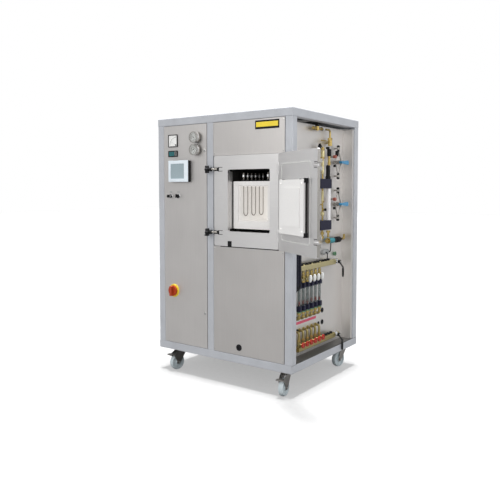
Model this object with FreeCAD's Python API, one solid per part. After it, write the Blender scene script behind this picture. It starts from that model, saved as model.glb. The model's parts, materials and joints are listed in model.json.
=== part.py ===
import FreeCAD, Part
import math
import os

from FreeCAD import Vector

# A cold-wall vacuum furnace on castors: a square-tube cabinet with a control cupboard on the left, a
# water-cooled vacuum vessel on the right, and an open service bay with water and gas fittings in the right side.
# Millimetres, +Z up, front towards -Y. The origin is on the floor, in the middle of the space that the machine
# takes up with its furnace door standing open.

# Cabinet and its square-tube frame
cab_w = 1250.0
cab_d = 1010.0
cab_h = 1825.0
tube = 60.0
tube_wall = 3.0
tube_round = 5.0
mid_post_centre = 719.0  # from the right side to the centre line of the middle posts
shelf_top = 853.0  # top of the bearers that carry the vessel, above the cabinet's underside
rail_w = 40.0  # depth of the cross rails between the posts
bearer_spread = 330.0  # between the centre lines of the two bearers

# Sheet metal
sheet = 2.0
panel_gap = 2.5
panel_fold = 18.0
bracket_leg = 20.0
bracket_len = 30.0
grommet_r = 24.0  # in the lower front panel
grommet_right = 452.0
grommet_above = 118.0

# Castors
castor_h = 175.0
wheel_r = 62.5
wheel_w = 36.0
castor_trail = 42.0
castor_inset_x = {"right": 95.0, "left": 134.0}  # kingpin from the cabinet's side
castor_inset_y = {"right": 80.0, "left": 104.0}  # kingpin from the cabinet's front or back
castor_plate = 104.0
castor_plate_t = 6.0
kingpin_r = 10.0
fork_t = 4.0
fork_gap = 2.0
axle_r = 6.0
pedal_ahead = 36.0  # brake pivot beyond and above the wheel's centre
pedal_above = 61.5
pedal_pin_r = 3.0
castor_turns = {"front_right": -81.0, "front_left": 262.0,
                "back_right": 258.0, "back_left": 285.0}  # way that each trail points

# Vacuum vessel
face_w = 565.0
face_h = 660.0
face_t = 20.0
face_out = 12.0  # how far the front plate stands out of the cabinet's front
face_right = 106.0  # from the cabinet's right side
face_bottom = 857.0
mouth_w = 366.0
mouth_h = 449.0
mouth_right = 177.0
mouth_bottom = 966.0
mouth_round = 12.0
switch_right = 527.0  # door switch in the plate's lower edge
switch_w = 37.0
switch_h = 39.0
vessel_depth = 470.0  # from the cabinet's front to the inside of the back wall
vessel_wall = 5.0
jacket_gap = 34.0
jacket_wall = 4.0
foot_w = 60.0
pump_bore_r = 20.5
pump_tube_r = 24.0
pump_flange_r = 27.5
pump_flange_t = 9.0
pump_reach = 38.0  # how far the pump flange stands out of the back
pump_z = 1191.0

# Heating chamber inside the vessel
box_front = 45.0
box_w = 348.0
box_h = 345.0
box_depth = 385.0
box_foot = 19.0
box_side = 50.0
box_roof = 36.0
box_floor = 58.0
box_back = 55.0
element_count = 3  # on each side wall
element_pitch = 100.0
element_first = 62.0  # from the chamber's front to the first element's centre line
element_span = 50.0
element_r = 3.0
element_drop = 215.0
element_wall_gap = 16.0
terminal_r = 6.0
terminal_above = 62.0
strap_t = 3.0
strap_w = 16.0
probe_r = 4.0
probe_reach = 40.0

# Furnace door
pivot_right = 96.0  # hinge line, from the cabinet's right side
door_gap = 1.5  # between the closed door and the front plate
leaf_t = 18.0
leaf_start = 15.0  # hinge line to the leaf's edge
leaf_w = 545.0
leaf_round = 10.0
open_angle = 148.0
jacket_start = 72.0
jacket_w = 410.0
jacket_h = 560.0
jacket_t = 34.0
jacket_taper = 8.0
seal_w = 410.0
seal_h = 520.0
seal_groove = 8.0
seal_depth = 4.0
seal_proud = 1.2
plug_start = 92.0
plug_w = 348.0
plug_h = 352.0
plug_board = 12.0
plug_core = 18.0
plug_core_inset = 6.0
plug_step = 3.0
plug_step_margin = 52.0
hinge_r = 13.0
hinge_pin_r = 7.0
hinge_from_end = 100.0  # hinge centres from the plate's upper and lower edge
hinge_ear = 18.0
hinge_knuckle = 40.0
run_fit = 0.05  # radial clearance of pins and spindles
body_gap = 0.3  # between pieces that move past each other

# Door clamps
clamp_right = 638.0
clamp_from_end = 98.0  # swing bolts from the plate's upper and lower edge
clamp_rest_angle = 65.0  # swung out from the clamped position
notch_h = 24.0
notch_depth = 50.0
eye_r = 12.0
eye_h = 20.0
clamp_pin_r = 5.0
bolt_r = 7.0
bolt_len = 92.0
pad_t = 20.0
pad_w = 58.0
pad_h = 70.0
pad_bevel = 10.0
clamp_slack = 2.0  # between an unscrewed knob and its pad
knob_r = 31.0
knob_t = 22.0
knob_hub = 24.0
knob_lobes = 6

# Service bay in the right side
bay_depth = 93.0
bay_end = 922.0  # from the front to the bay's back wall
bay_top_gap = 16.0
bush_r = 19.0  # spare grommets behind the circuits
small_bush_r = 14.0
bush_y = 593.0
small_bush_y = 535.0

# Cooling water
circuits = 6
circuit_pitch = 59.0
circuit_first = 190.0
water_x = 58.0  # centre of the water pipework, from the right side
bar = 38.0
bar_start = 162.0
bar_end = 712.0
supply_z = 708.0
return_z = 129.0
flow_tube_r = 11.0
flow_tube_wall = 2.0
flow_tube_bottom = 436.0
flow_tube_top = 566.0
flow_block = 34.0
flow_block_h = 36.0
pipe_r = 9.0
outlet_z = 340.0
inlet_z = 248.0
wheel_stem_r = 4.0
handwheel_r = 20.0
handwheel_t = 10.0
bonnet_rise = 12.0  # regulating spindles above the return bar's upper face
bonnet_len = 19.0
ball_valve_len = 56.0
ball_valve_r = 21.0
lever_reach = 112.0
lever_w = 16.0
lever_t = 4.0
lever_crank = 26.0  # how far the lever's arm stands out from its hub
grip_len = 62.0
hose_r = 14.0
hose_bend = 46.0
hose_front = 112.0
hose_pitch = 36.0
hose_top_z = 900.0
hose_top_step = 40.0  # the second hose leaves lower and ends higher
hose_end_z = 545.0
hose_end_step = 14.0
hose_out = 32.0  # hoses' upright runs, from the right side

# Process gas, measured down from the bay's top
gas_x = 60.0
riser_y = 528.0
riser_r = 6.0
gas_block_w = 170.0
gas_block_h = 72.0
gas_block_y = 556.0
gas_block_out = 18.0  # front face beyond the plane of the pipework
gas_tube_y = 622.0
gas_tube_r = 17.0
gas_block_drops = [450.0, 764.0]
inlet_valve_y = 440.0
inlet_valve_drop = 44.0
elbow_y = 640.0
lever_drop = 128.0
station_y = 778.0
station_drops = [281.0, 609.0]
station_half = 108.0
station_bow = 46.0
station_tube_r = 4.0
station_body_r = 15.0
gas_lever_len = 96.0
gas_lever_r = 17.0
gas_lever_out = 14.0  # lever's arm beyond the valve body
gas_cap_y = 76.0  # red cap before and above the middle of its station
gas_cap_z = 40.0
gas_cap_r = 13.0
transmitter_drop = 888.0
transmitter_y = 590.0
transmitter_r = 22.0
transmitter_len = 236.0
gland_z = 791.0

# Control cupboard door and what it carries, measured from the door opening's left edge and the underside
hinge_inset = 5.0
cupboard_pin_r = 2.8
meter_w = 96.0
meter_h = 96.0
meter_x = 49.0
meter_z = 1600.0
reader_h = 48.0
reader_z = 1524.0
bezel = 6.0
meter_depth = 60.0
screen_w = 203.0
screen_h = 163.0
screen_x = 75.0
screen_z = 1330.0
screen_t = 30.0
gauge_r = 42.0
gauge_len = 46.0
gauge_x = 342.0
gauge_z = [1570.0, 1662.0]
gauge_stem_r = 9.0
switch_x = [70.0, 150.0]
switch_z = 1219.0
switch_r = 14.5
switch_len = 12.0
main_x = 98.0
main_z = 476.0
main_collar_r = 52.0
main_collar_t = 8.0
main_knob_r = 40.0
main_knob_t = 38.0

# Inside the cupboard and the lower compartment
gear_stay = 30.0  # stand-off of the mounting plate from the back posts
gear_margin = 30.0
gear_plate_t = 3.0
din_rows = [1500.0, 1290.0, 1080.0]
duct_w = 40.0
breaker_w = 18.0
breaker_h = 80.0
breaker_d = 65.0
pump_w = 190.0
pump_len = 360.0
pump_h = 210.0

# Rear connections
port_r = 10.5
port_hex = 19.0
port_len = 46.0
water_port_z = 330.0
water_port_pitch = 90.0
gas_port_z = 520.0
gland_r = 20.0

# Levels and planes worked out from the sizes above
pivot_front = face_out + door_gap + leaf_t / 2.0
opening_cos = math.cos(math.radians(180.0 + open_angle))
opening_sin = math.sin(math.radians(180.0 + open_angle))
leaf_end = leaf_start + leaf_w
reach_right = leaf_end * opening_cos - leaf_t / 2.0 * opening_sin - pivot_right
reach_front = pivot_front - leaf_end * opening_sin - leaf_t / 2.0 * opening_cos
cab_right = (cab_w - reach_right) / 2.0
cab_left = cab_right - cab_w
cab_front = (reach_front - cab_d - pump_reach) / 2.0
cab_back = cab_front + cab_d
cab_bottom = castor_h
cab_top = cab_bottom + cab_h
mid_left = cab_right - mid_post_centre - tube / 2.0
mid_right = mid_left + tube
mouth_mid_x = cab_right - mouth_right - mouth_w / 2.0
jacket_reach = vessel_wall + jacket_gap + jacket_wall
mouth_mid_z = cab_bottom + mouth_bottom + mouth_h / 2.0
box_bottom_z = cab_bottom + mouth_bottom + box_foot
box_left_x = mouth_mid_x - box_w / 2.0
box_right_x = mouth_mid_x + box_w / 2.0
box_top_z = box_bottom_z + box_h
box_front_y = cab_front + box_front
chamber_back_y = box_front_y + box_depth - box_back
pivot_x = cab_right - pivot_right
pivot_y = cab_front - pivot_front
face_bottom_z = cab_bottom + face_bottom
face_top_z = face_bottom_z + face_h
leaf_mid_z = (face_bottom_z + face_top_z) / 2.0
bay_x = cab_right - bay_depth
bay_floor = cab_bottom + tube + sheet
bay_top = cab_top - tube - bay_top_gap
gas_top = cab_top - tube
water_plane = cab_right - water_x
gas_plane = cab_right - gas_x
cupboard_left = cab_left + tube
cupboard_right = mid_left
door_x0 = cupboard_left + panel_gap
door_x1 = cupboard_right - panel_gap
door_z0 = cab_bottom + tube + panel_gap
door_z1 = cab_top - tube - panel_gap

X = Vector(1, 0, 0)
Y = Vector(0, 1, 0)
Z = Vector(0, 0, 1)


def block(x0, x1, y0, y1, z0, z1):
    return Part.makeBox(x1 - x0, y1 - y0, z1 - z0, Vector(x0, y0, z0))


def rod(x, y, z, radius, length, axis):
    return Part.makeCylinder(radius, length, Vector(x, y, z), axis)


def pipe(x, y, z, outer, inner, length, axis):
    return rod(x, y, z, outer, length, axis).cut(rod(x, y, z, inner, length, axis))


def cone(x, y, z, r0, r1, length, axis):
    return Part.makeCone(r0, r1, length, Vector(x, y, z), axis)


def joined(shapes):
    whole = shapes[0].multiFuse(shapes[1:]) if len(shapes) > 1 else shapes[0]
    return whole.removeSplitter()


def cut_all(shape, tools):
    for tool in tools:
        shape = shape.cut(tool)
    return shape


def turned(shape, x, y, z, axis, degrees):
    copy = shape.copy()
    copy.rotate(Vector(x, y, z), axis, degrees)
    return copy


def round_edges(shape, radius, wanted):
    edges = [edge for edge in shape.Edges if wanted(edge)]
    return shape.makeFillet(radius, edges)


def runs_along(axis):
    # True for straight edges that lie along the axis
    def test(edge):
        if not isinstance(edge.Curve, Part.Line):
            return False
        return abs(abs(edge.tangentAt(edge.FirstParameter).dot(axis)) - 1.0) < 1e-6
    return test


def rounded_block(x0, x1, y0, y1, z0, z1, radius, axis):
    return round_edges(block(x0, x1, y0, y1, z0, z1), radius, runs_along(axis))


def write(name, solids):
    shape = Part.makeCompound(solids) if len(solids) > 1 else solids[0]
    shape.exportStep(os.path.join("parts", name + ".step"))


def rect_tube(x0, x1, y0, y1, z0, z1, axis):
    # One length of hollow section with rounded long corners
    outer = rounded_block(x0, x1, y0, y1, z0, z1, tube_round, axis)
    in_x = 0.0 if axis == X else tube_wall
    in_y = 0.0 if axis == Y else tube_wall
    in_z = 0.0 if axis == Z else tube_wall
    return outer.cut(block(x0 + in_x, x1 - in_x, y0 + in_y, y1 - in_y, z0 + in_z, z1 - in_z))


def square_tube(x, y, z, length, axis):
    # Frame tube from its low corner
    far_x = length if axis == X else tube
    far_y = length if axis == Y else tube
    far_z = length if axis == Z else tube
    return rect_tube(x, x + far_x, y, y + far_y, z, z + far_z, axis)


def mitre_half(x, y, z, dx, dy, along_x):
    # One half of a ring's corner square, split on the diagonal; dx and dy point into the cabinet
    near = Vector(x - dx, y - dy, z - 1.0)
    far = Vector(x + dx * (tube + 1.0), y + dy * (tube + 1.0), z - 1.0)
    if along_x:
        third = Vector(x + dx * (tube + 1.0), y - dy, z - 1.0)
    else:
        third = Vector(x - dx, y + dy * (tube + 1.0), z - 1.0)
    return Part.Face(Part.makePolygon([near, far, third, near])).extrude(Vector(0, 0, tube + 2.0))


def ring(z):
    # Four mitred tubes round the cabinet at one level
    front = square_tube(cab_left, cab_front, z, cab_w, X)
    back = square_tube(cab_left, cab_back - tube, z, cab_w, X)
    left = square_tube(cab_left, cab_front, z, cab_d, Y)
    right = square_tube(cab_right - tube, cab_front, z, cab_d, Y)
    corners = [(cab_left, cab_front, 1, 1), (cab_right, cab_front, -1, 1),
               (cab_left, cab_back, 1, -1), (cab_right, cab_back, -1, -1)]
    for x, y, dx, dy in corners:
        side_half = mitre_half(x, y, z, dx, dy, False)
        end_half = mitre_half(x, y, z, dx, dy, True)
        if dy > 0:
            front = front.cut(side_half)
        else:
            back = back.cut(side_half)
        if dx > 0:
            left = left.cut(end_half)
        else:
            right = right.cut(end_half)
    middle = square_tube(mid_left, cab_front + tube, z, cab_d - 2 * tube, Y)
    return [front, back, left, right, middle]


def bearer_lines():
    return [mouth_mid_x - bearer_spread / 2.0, mouth_mid_x + bearer_spread / 2.0]


def make_frame():
    low = cab_bottom + tube
    write("frame_base_ring", ring(cab_bottom))
    write("frame_top_ring", ring(cab_top - tube))
    posts = []
    for x in (cab_left, mid_left, cab_right - tube):
        for y in (cab_front, cab_back - tube):
            posts.append(square_tube(x, y, low, cab_h - 2 * tube, Z))
    # Cross rails behind the front and back panels, and the two bearers that carry the vessel
    shelf_z = cab_bottom + shelf_top - tube
    right_in = cab_right - tube
    front_y = cab_front + tube - rail_w
    back_y = cab_back - tube
    posts.append(rect_tube(mid_right, right_in, front_y, front_y + rail_w, shelf_z, shelf_z + tube, X))
    posts.append(rect_tube(mid_right, right_in, back_y, back_y + rail_w, shelf_z, shelf_z + tube, X))
    for x in bearer_lines():
        posts.append(rect_tube(x - tube / 2.0, x + tube / 2.0, front_y + rail_w, back_y, shelf_z,
                               shelf_z + tube, Y))
    write("frame_posts", posts)


def angle_bracket(x, y, z, along, into):
    # Small angle: one leg flat on a tube, the other behind a panel's fold
    # along is the tube face's outward normal in the opening's plane, into points into the cabinet
    other = along.cross(into)
    a = Vector(x, y, z)
    legs = []
    for u, v in ((along, into), (into, along)):
        p = a - other * (bracket_len / 2.0)
        points = [p, p + u * bracket_leg, p + u * bracket_leg + v * sheet, p + v * sheet, p]
        legs.append(Part.Face(Part.makePolygon(points)).extrude(other * bracket_len))
    return joined(legs)


def opening_brackets(low, high, u, v, into):
    # Four angles on the two upright sides of an opening given by its low and high corners
    found = []
    span_u = (high - low).dot(u)
    span_v = (high - low).dot(v)
    for share in (0.12, 0.88):
        for side, way in ((0.0, 1.0), (1.0, -1.0)):
            p = low + u * (span_u * side) + v * (span_v * share)
            found.append(angle_bracket(p.x, p.y, p.z, u * way, into))
    return found


def make_fittings():
    solids = []
    front_y = cab_front + panel_fold
    back_y = cab_back - panel_fold
    low = cab_bottom + tube
    high = cab_top - tube
    right_in = cab_right - tube
    shelf_z = cab_bottom + shelf_top
    for z0, z1 in ((face_top_z, high), (low, shelf_z)):
        solids += opening_brackets(Vector(mid_right, front_y, z0), Vector(right_in, front_y, z1), X, Z, Y)
    for x0, x1 in ((cupboard_left, cupboard_right), (mid_right, right_in)):
        solids += opening_brackets(Vector(x0, back_y, low), Vector(x1, back_y, high), X, Z, Y * -1)
        solids += opening_brackets(Vector(x0, cab_front + tube, cab_top - panel_fold),
                                   Vector(x1, cab_back - tube, cab_top - panel_fold), X, Y, Z * -1)
    solids += opening_brackets(Vector(cab_left + panel_fold, cab_front + tube, low),
                               Vector(cab_left + panel_fold, cab_back - tube, high), Y, Z, X)
    # Pins of the cupboard door stand in the rings above and below it
    for z, way in ((low, 1), (high, -1)):
        length = panel_gap + 2 * sheet
        start = z if way > 0 else z - length
        solids.append(rod(door_x0 + hinge_inset, cab_front + hinge_inset, start, cupboard_pin_r, length, Z))
    write("brackets_and_pins", solids)


def pan(x0, x1, y0, y1, z0, z1, open_side, thickness=sheet):
    # A folded sheet tray that is open towards open_side
    outer = block(x0, x1, y0, y1, z0, z1)
    t = thickness
    lows = [x0 + t, y0 + t, z0 + t]
    highs = [x1 - t, y1 - t, z1 - t]
    index = [abs(open_side.x), abs(open_side.y), abs(open_side.z)].index(1.0)
    if (open_side.x + open_side.y + open_side.z) > 0:
        highs[index] += 2 * t
    else:
        lows[index] -= 2 * t
    return outer.cut(block(lows[0], highs[0], lows[1], highs[1], lows[2], highs[2]))


def slots(centres, length, width, along, through, depth):
    # Round-ended slots through a sheet
    tools = []
    across = along.cross(through)
    for c in centres:
        a = c - along * (length / 2.0 - width / 2.0) - through * (depth / 2.0)
        bar_face = Part.Face(Part.makePolygon([
            a - across * (width / 2.0), a + across * (width / 2.0),
            a + across * (width / 2.0) + along * (length - width),
            a - across * (width / 2.0) + along * (length - width), a - across * (width / 2.0)]))
        tool = bar_face.extrude(through * depth)
        for k in (0.0, length - width):
            p = a + along * k
            tool = tool.fuse(Part.makeCylinder(width / 2.0, depth, p, through))
        tools.append(tool)
    return tools


def vent(x, y, z, rows, columns, row_step, column_step, length, width, along, across, through):
    centres = []
    for r in range(rows):
        for c in range(columns):
            u = (c - (columns - 1) / 2.0) * column_step
            v = (r - (rows - 1) / 2.0) * row_step
            centres.append(Vector(x, y, z) + along * u + across * v)
    return slots(centres, length, width, along, through, 4 * sheet)


def make_covers():
    fold = panel_fold
    gap = panel_gap
    right_in = cab_right - tube
    low = cab_bottom + tube + gap
    high = cab_top - tube - gap
    # Top: two trays let into the top ring, slotted over the vessel for warm air
    trays = []
    for x0, x1 in ((cupboard_left + gap, cupboard_right - gap), (mid_right + gap, right_in - gap)):
        tray = pan(x0, x1, cab_front + tube + gap, cab_back - tube - gap, cab_top - fold, cab_top, Z * -1)
        middle = (x0 + x1) / 2.0
        tray = cut_all(tray, vent(middle, cab_back - 260.0, cab_top, 5, 3, 26.0, 110.0, 90.0, 8.0, X, Y, Z))
        trays.append(tray)
    write("top_panel", trays)
    # Left side
    side = pan(cab_left, cab_left + fold, cab_front + tube + gap, cab_back - tube - gap, low, high, X)
    middle = (cab_front + cab_back) / 2.0
    for z in (cab_bottom + 230.0, cab_top - 230.0):
        side = cut_all(side, vent(cab_left, middle, z, 5, 3, 24.0, 120.0, 96.0, 8.0, Y, Z, X))
    # Back: one tray behind the cupboard, one behind the vessel with holes for the pipes
    backs = []
    for x0, x1 in ((cupboard_left + gap, cupboard_right - gap), (mid_right + gap, right_in - gap)):
        backs.append(pan(x0, x1, cab_back - fold, cab_back, low, high, Y * -1))
    middle = (cupboard_left + cupboard_right) / 2.0
    for z in (cab_bottom + 200.0, cab_top - 200.0):
        backs[0] = cut_all(backs[0], vent(middle, cab_back, z, 5, 3, 24.0, 110.0, 90.0, 8.0, X, Z, Y))
    backs[0] = backs[0].cut(rod(middle, cab_back - 2 * sheet, cab_bottom + water_port_z, gland_r - 2.0,
                                4 * sheet, Y))
    backs[1] = backs[1].cut(rod(mouth_mid_x, cab_back - 2 * sheet, cab_bottom + pump_z, pump_tube_r + body_gap,
                                4 * sheet, Y))
    for x, z in rear_ports():
        backs[1] = backs[1].cut(rod(x, cab_back - 2 * sheet, z, port_r + 2.5, 4 * sheet, Y))
    write("rear_panels", backs)
    # Floor of the cabinet, in two plates that rest in the base ring
    floors = []
    for x0, x1 in ((cupboard_left, cupboard_right), (mid_right, right_in)):
        floors.append(block(x0, x1, cab_front + tube, cab_back - tube, cab_bottom + tube - 2 * sheet,
                            cab_bottom + tube - sheet))
    write("side_and_floor_panels", [side] + floors)


def rear_ports():
    # Centres of the two water unions and the gas union in the back
    return [(mouth_mid_x - water_port_pitch / 2.0, cab_bottom + water_port_z),
            (mouth_mid_x + water_port_pitch / 2.0, cab_bottom + water_port_z),
            (mouth_mid_x, cab_bottom + gas_port_z)]


def make_front_panels():
    gap = panel_gap
    x0 = mid_right + gap
    x1 = cab_right - tube - gap
    y0 = cab_front
    y1 = cab_front + panel_fold
    upper_z = face_top_z + gap
    upper = pan(x0, x1, y0, y1, upper_z, cab_top - tube - gap, Y)
    lower = pan(x0, x1, y0, y1, cab_bottom + tube + gap, cab_bottom + shelf_top, Y)
    x = cab_right - grommet_right
    z = cab_bottom + grommet_above
    hole_r = grommet_r - 4.0
    lower = lower.cut(rod(x, y0 - 1.0, z, hole_r, sheet + 2.0, Y))
    grommet = rod(x, y0 - 3.0, z, grommet_r, 3.0, Y).fuse(rod(x, y0, z, hole_r, 8.0, Y))
    grommet = grommet.cut(rod(x, y0 - 4.0, z, grommet_r - 10.0, 7.0, Y))
    # Two recessed strips that close the space beside the vessel's front plate
    strip_y = cab_front - face_out + face_t
    strips = []
    for a, b in ((mid_right, cab_right - clamp_right - eye_r - 2.0),
                 (mouth_mid_x + mouth_w / 2.0 + jacket_reach + 3.0, cab_right - tube)):
        strips.append(block(a, b, strip_y, strip_y + sheet, cab_bottom + shelf_top + gap, upper_z - gap))
    write("front_panels", [upper, lower, grommet] + strips)


def clamp_points():
    return [face_bottom_z + clamp_from_end, face_top_z - clamp_from_end]


def hinge_levels():
    return [face_bottom_z + hinge_from_end, face_top_z - hinge_from_end]


def box_walls(x0, x1, y0, y1, z0, z1, wall):
    # Floor, roof, two sides and back of a box that is open at the front
    return [block(x0, x1, y0, y1 - wall, z0, z0 + wall),
            block(x0, x1, y0, y1 - wall, z1 - wall, z1),
            block(x0, x0 + wall, y0, y1 - wall, z0 + wall, z1 - wall),
            block(x1 - wall, x1, y0, y1 - wall, z0 + wall, z1 - wall),
            block(x0, x1, y1 - wall, y1, z0, z1)]


def door_switch(y0, z0):
    # Pocket in the plate's lower edge and the switch that sits in it
    x = cab_right - switch_right
    pocket = block(x - switch_w / 2.0, x + switch_w / 2.0, y0 - 1.0, y0 + face_t + 1.0, z0 - 1.0, z0 + switch_h)
    fit = body_gap
    body = rounded_block(x - switch_w / 2.0 + fit, x + switch_w / 2.0 - fit, y0 + fit, y0 + face_t - fit,
                         z0 + fit, z0 + switch_h - fit, 3.0, Y)
    return pocket, body


def make_vessel():
    # Front plate with the mouth, the notches for the swing bolts and the fixed hinge ears
    y0 = cab_front - face_out
    y1 = y0 + face_t
    x1 = cab_right - face_right
    x0 = x1 - face_w
    z0 = face_bottom_z
    plate = rounded_block(x0, x1, y0, y1, z0, face_top_z, leaf_round, Y)
    mx0 = mouth_mid_x - mouth_w / 2.0
    mx1 = mouth_mid_x + mouth_w / 2.0
    mz0 = cab_bottom + mouth_bottom
    mz1 = mz0 + mouth_h
    plate = plate.cut(rounded_block(mx0, mx1, y0 - 1.0, y1 + 1.0, mz0, mz1, mouth_round, Y))
    pocket, switch_body = door_switch(y0, z0)
    plate = plate.cut(pocket)
    clamp_x = cab_right - clamp_right
    clamp_y = cab_front - face_out + face_t / 2.0
    for z in clamp_points():
        inner = clamp_x + eye_r + 2.0
        notch = block(x0 - 1.0, inner, y0 - 1.0, y1 + 1.0, z - notch_h / 2.0, z + notch_h / 2.0)
        plate = plate.cut(notch)
        plate = plate.cut(rod(clamp_x, clamp_y, z - notch_h, clamp_pin_r, 2 * notch_h, Z))
    ears = []
    for z in hinge_levels():
        for way in (-1, 1):
            base = z + way * (hinge_knuckle / 2.0 + body_gap + hinge_ear / 2.0) - hinge_ear / 2.0
            ear = rod(pivot_x, pivot_y, base, hinge_r, hinge_ear, Z)
            web = block(x1 - tube / 6.0, pivot_x + hinge_r, pivot_y, y1, base, base + hinge_ear)
            web = web.cut(block(x1 - tube, x1, pivot_y - 1.0, y0, base - 1.0, base + hinge_ear + 1.0))
            ear = ear.fuse(web.cut(block(x1 - tube, x1 - 0.001, y0, y1, base - 1.0, base + hinge_ear + 1.0)))
            ear = ear.cut(rod(pivot_x, pivot_y, base - 1.0, hinge_pin_r, hinge_ear + 2.0, Z))
            ears.append(ear)
    write("vessel_front_plate", [joined([plate] + ears)])
    # Inner wall, open at the front, and the water jacket round it, both welded from plates
    wall = vessel_wall
    back = cab_front + vessel_depth
    reach = jacket_reach
    inner = box_walls(mx0 - wall, mx1 + wall, y1, back + wall, mz0 - wall, mz1 + wall, wall)
    jacket = box_walls(mx0 - reach, mx1 + reach, y1, back + reach, mz0 - reach, mz1 + reach, jacket_wall)
    bore = rod(mouth_mid_x, back - 1.0, cab_bottom + pump_z, pump_bore_r, reach + 2.0, Y)
    collar = pipe(mouth_mid_x, back + wall, cab_bottom + pump_z, pump_tube_r, pump_bore_r, reach - wall, Y)
    probe = rod(mouth_mid_x + box_w / 4.0, back - 1.0, mouth_mid_z, probe_r + 1.0, reach + 2.0, Y)
    inner[-1] = inner[-1].cut(bore).cut(probe)
    jacket[-1] = jacket[-1].cut(rod(mouth_mid_x, back, cab_bottom + pump_z, pump_tube_r, reach + 1.0, Y))
    jacket[-1] = jacket[-1].cut(probe)
    feet = []
    for y in (cab_front + tube, cab_front + vessel_depth - foot_w):
        for x in bearer_lines():
            feet.append(block(x - tube / 2.0, x + tube / 2.0, y, y + foot_w, cab_bottom + shelf_top,
                              mz0 - reach))
    # Rails inside that the heating chamber stands on
    rails = []
    for x in (box_left_x + box_side / 2.0, box_right_x - box_side / 2.0):
        rails.append(block(x - 10.0, x + 10.0, box_front_y + 20.0, box_front_y + box_depth - 20.0, mz0,
                           box_bottom_z))
    # Hinge pins with a head, and the pins of the swing bolts
    pins = []
    for z in hinge_levels():
        half = hinge_knuckle / 2.0 + body_gap + hinge_ear
        pin = rod(pivot_x, pivot_y, z - half, hinge_pin_r, 2 * half, Z)
        pins.append(pin.fuse(rod(pivot_x, pivot_y, z + half, hinge_pin_r + 2.0, 4.0, Z)).removeSplitter())
    for z in clamp_points():
        pins.append(rod(clamp_x, clamp_y, z - notch_h, clamp_pin_r, 2 * notch_h, Z))
    write("furnace_vessel", inner + jacket + rails + [collar, switch_body] + feet + pins)


def make_heating_chamber():
    x0 = box_left_x
    x1 = box_right_x
    y0 = box_front_y
    y1 = y0 + box_depth
    shell = round_edges(block(x0, x1, y0, y1, box_bottom_z, box_top_z), 4.0, runs_along(Y))
    cx0 = x0 + box_side
    cx1 = x1 - box_side
    cz0 = box_bottom_z + box_floor
    cz1 = box_top_z - box_roof
    shell = shell.cut(block(cx0, cx1, y0 - 1.0, chamber_back_y, cz0, cz1))
    # Recessed step round the mouth that the door's plug faces
    shell = shell.cut(block(cx0 - 8.0, cx1 + 8.0, y0 - 1.0, y0 + 6.0, cz0 - 8.0, cz1 + 8.0))
    elements = []
    terminals = []
    for x in (cx0 + element_wall_gap, cx1 - element_wall_gap):
        centres = [y0 + element_first + i * element_pitch for i in range(element_count)]
        for y in centres:
            low = cz1 - element_drop
            bend_r = element_span / 2.0
            legs = []
            for side in (-1, 1):
                leg_y = y + side * bend_r
                legs.append(rod(x, leg_y, low + bend_r, element_r, cz1 - low - bend_r, Z))
                thick = rod(x, leg_y, cz1, terminal_r, box_roof + terminal_above, Z)
                shell = shell.cut(rod(x, leg_y, cz1 - 1.0, terminal_r, box_roof + 2.0, Z))
                legs.append(thick)
                terminals.append(clip(x, leg_y))
            ring_shape = Part.makeTorus(bend_r, element_r, Vector(x, y, low + bend_r), X)
            half = ring_shape.common(block(x - 20.0, x + 20.0, y - 60.0, y + 60.0, low - 20.0, low + bend_r))
            elements.append(joined(legs + [half]))
        for a, b in zip(centres, centres[1:]):
            terminals.append(strap(x, a + element_span / 2.0, b - element_span / 2.0))
        terminals.append(busbar(x, centres[-1] + element_span / 2.0))
    write("insulation_box", [shell.cut(rod(mouth_mid_x + box_w / 4.0, chamber_back_y - 1.0, mouth_mid_z,
                                           probe_r + 0.5, box_back + 2.0, Y))])
    write("heating_elements", elements)
    write("element_terminals", terminals)
    back = cab_front + vessel_depth + jacket_reach
    start = chamber_back_y - probe_reach
    sheath = rod(mouth_mid_x + box_w / 4.0, start, mouth_mid_z, probe_r, back - start + 30.0, Y)
    head = rod(mouth_mid_x + box_w / 4.0, back, mouth_mid_z, 18.0, 12.0, Y)
    head = head.fuse(rod(mouth_mid_x + box_w / 4.0, back + 12.0, mouth_mid_z, 26.0, 34.0, Y))
    write("thermocouple", [joined([sheath, head])])


def clip_level():
    return box_top_z + terminal_above - 30.0


def clip(x, y):
    # Clamp ring on one terminal
    z = clip_level()
    body = rod(x, y, z, terminal_r + 5.0, strap_w, Z)
    return body.cut(rod(x, y, z - 1.0, terminal_r, strap_w + 2.0, Z))


def strap(x, y0, y1):
    # Arched braid from one terminal's clamp ring to the next
    z = clip_level() + strap_w / 2.0
    reach = terminal_r + 5.0
    a = Vector(x, y0 + reach, z)
    b = Vector(x, y1 - reach, z)
    top = Vector(x, (y0 + y1) / 2.0, z + 10.0)
    arc = Part.Arc(a, top, b)
    inner = Part.Arc(a + Z * -strap_t, top + Z * -strap_t, b + Z * -strap_t)
    edges = [arc.toShape(), Part.LineSegment(b, b + Z * -strap_t).toShape(), inner.toShape(),
             Part.LineSegment(a + Z * -strap_t, a).toShape()]
    wire = Part.Wire(Part.__sortEdges__(edges))
    face = Part.Face(wire)
    return face.extrude(X * strap_w).translated(X * (-strap_w / 2.0))


def busbar(x, y):
    # Bar from the last terminal to the feed-through in the vessel's back wall
    z = clip_level()
    y0 = y + terminal_r + 5.0
    y1 = cab_front + vessel_depth
    return block(x - strap_w / 2.0, x + strap_w / 2.0, y0, y1, z + 4.0, z + 4.0 + 2 * strap_t)


def on_open_door(solids):
    return [turned(s, pivot_x, pivot_y, 0.0, Z, open_angle) for s in solids]


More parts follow.
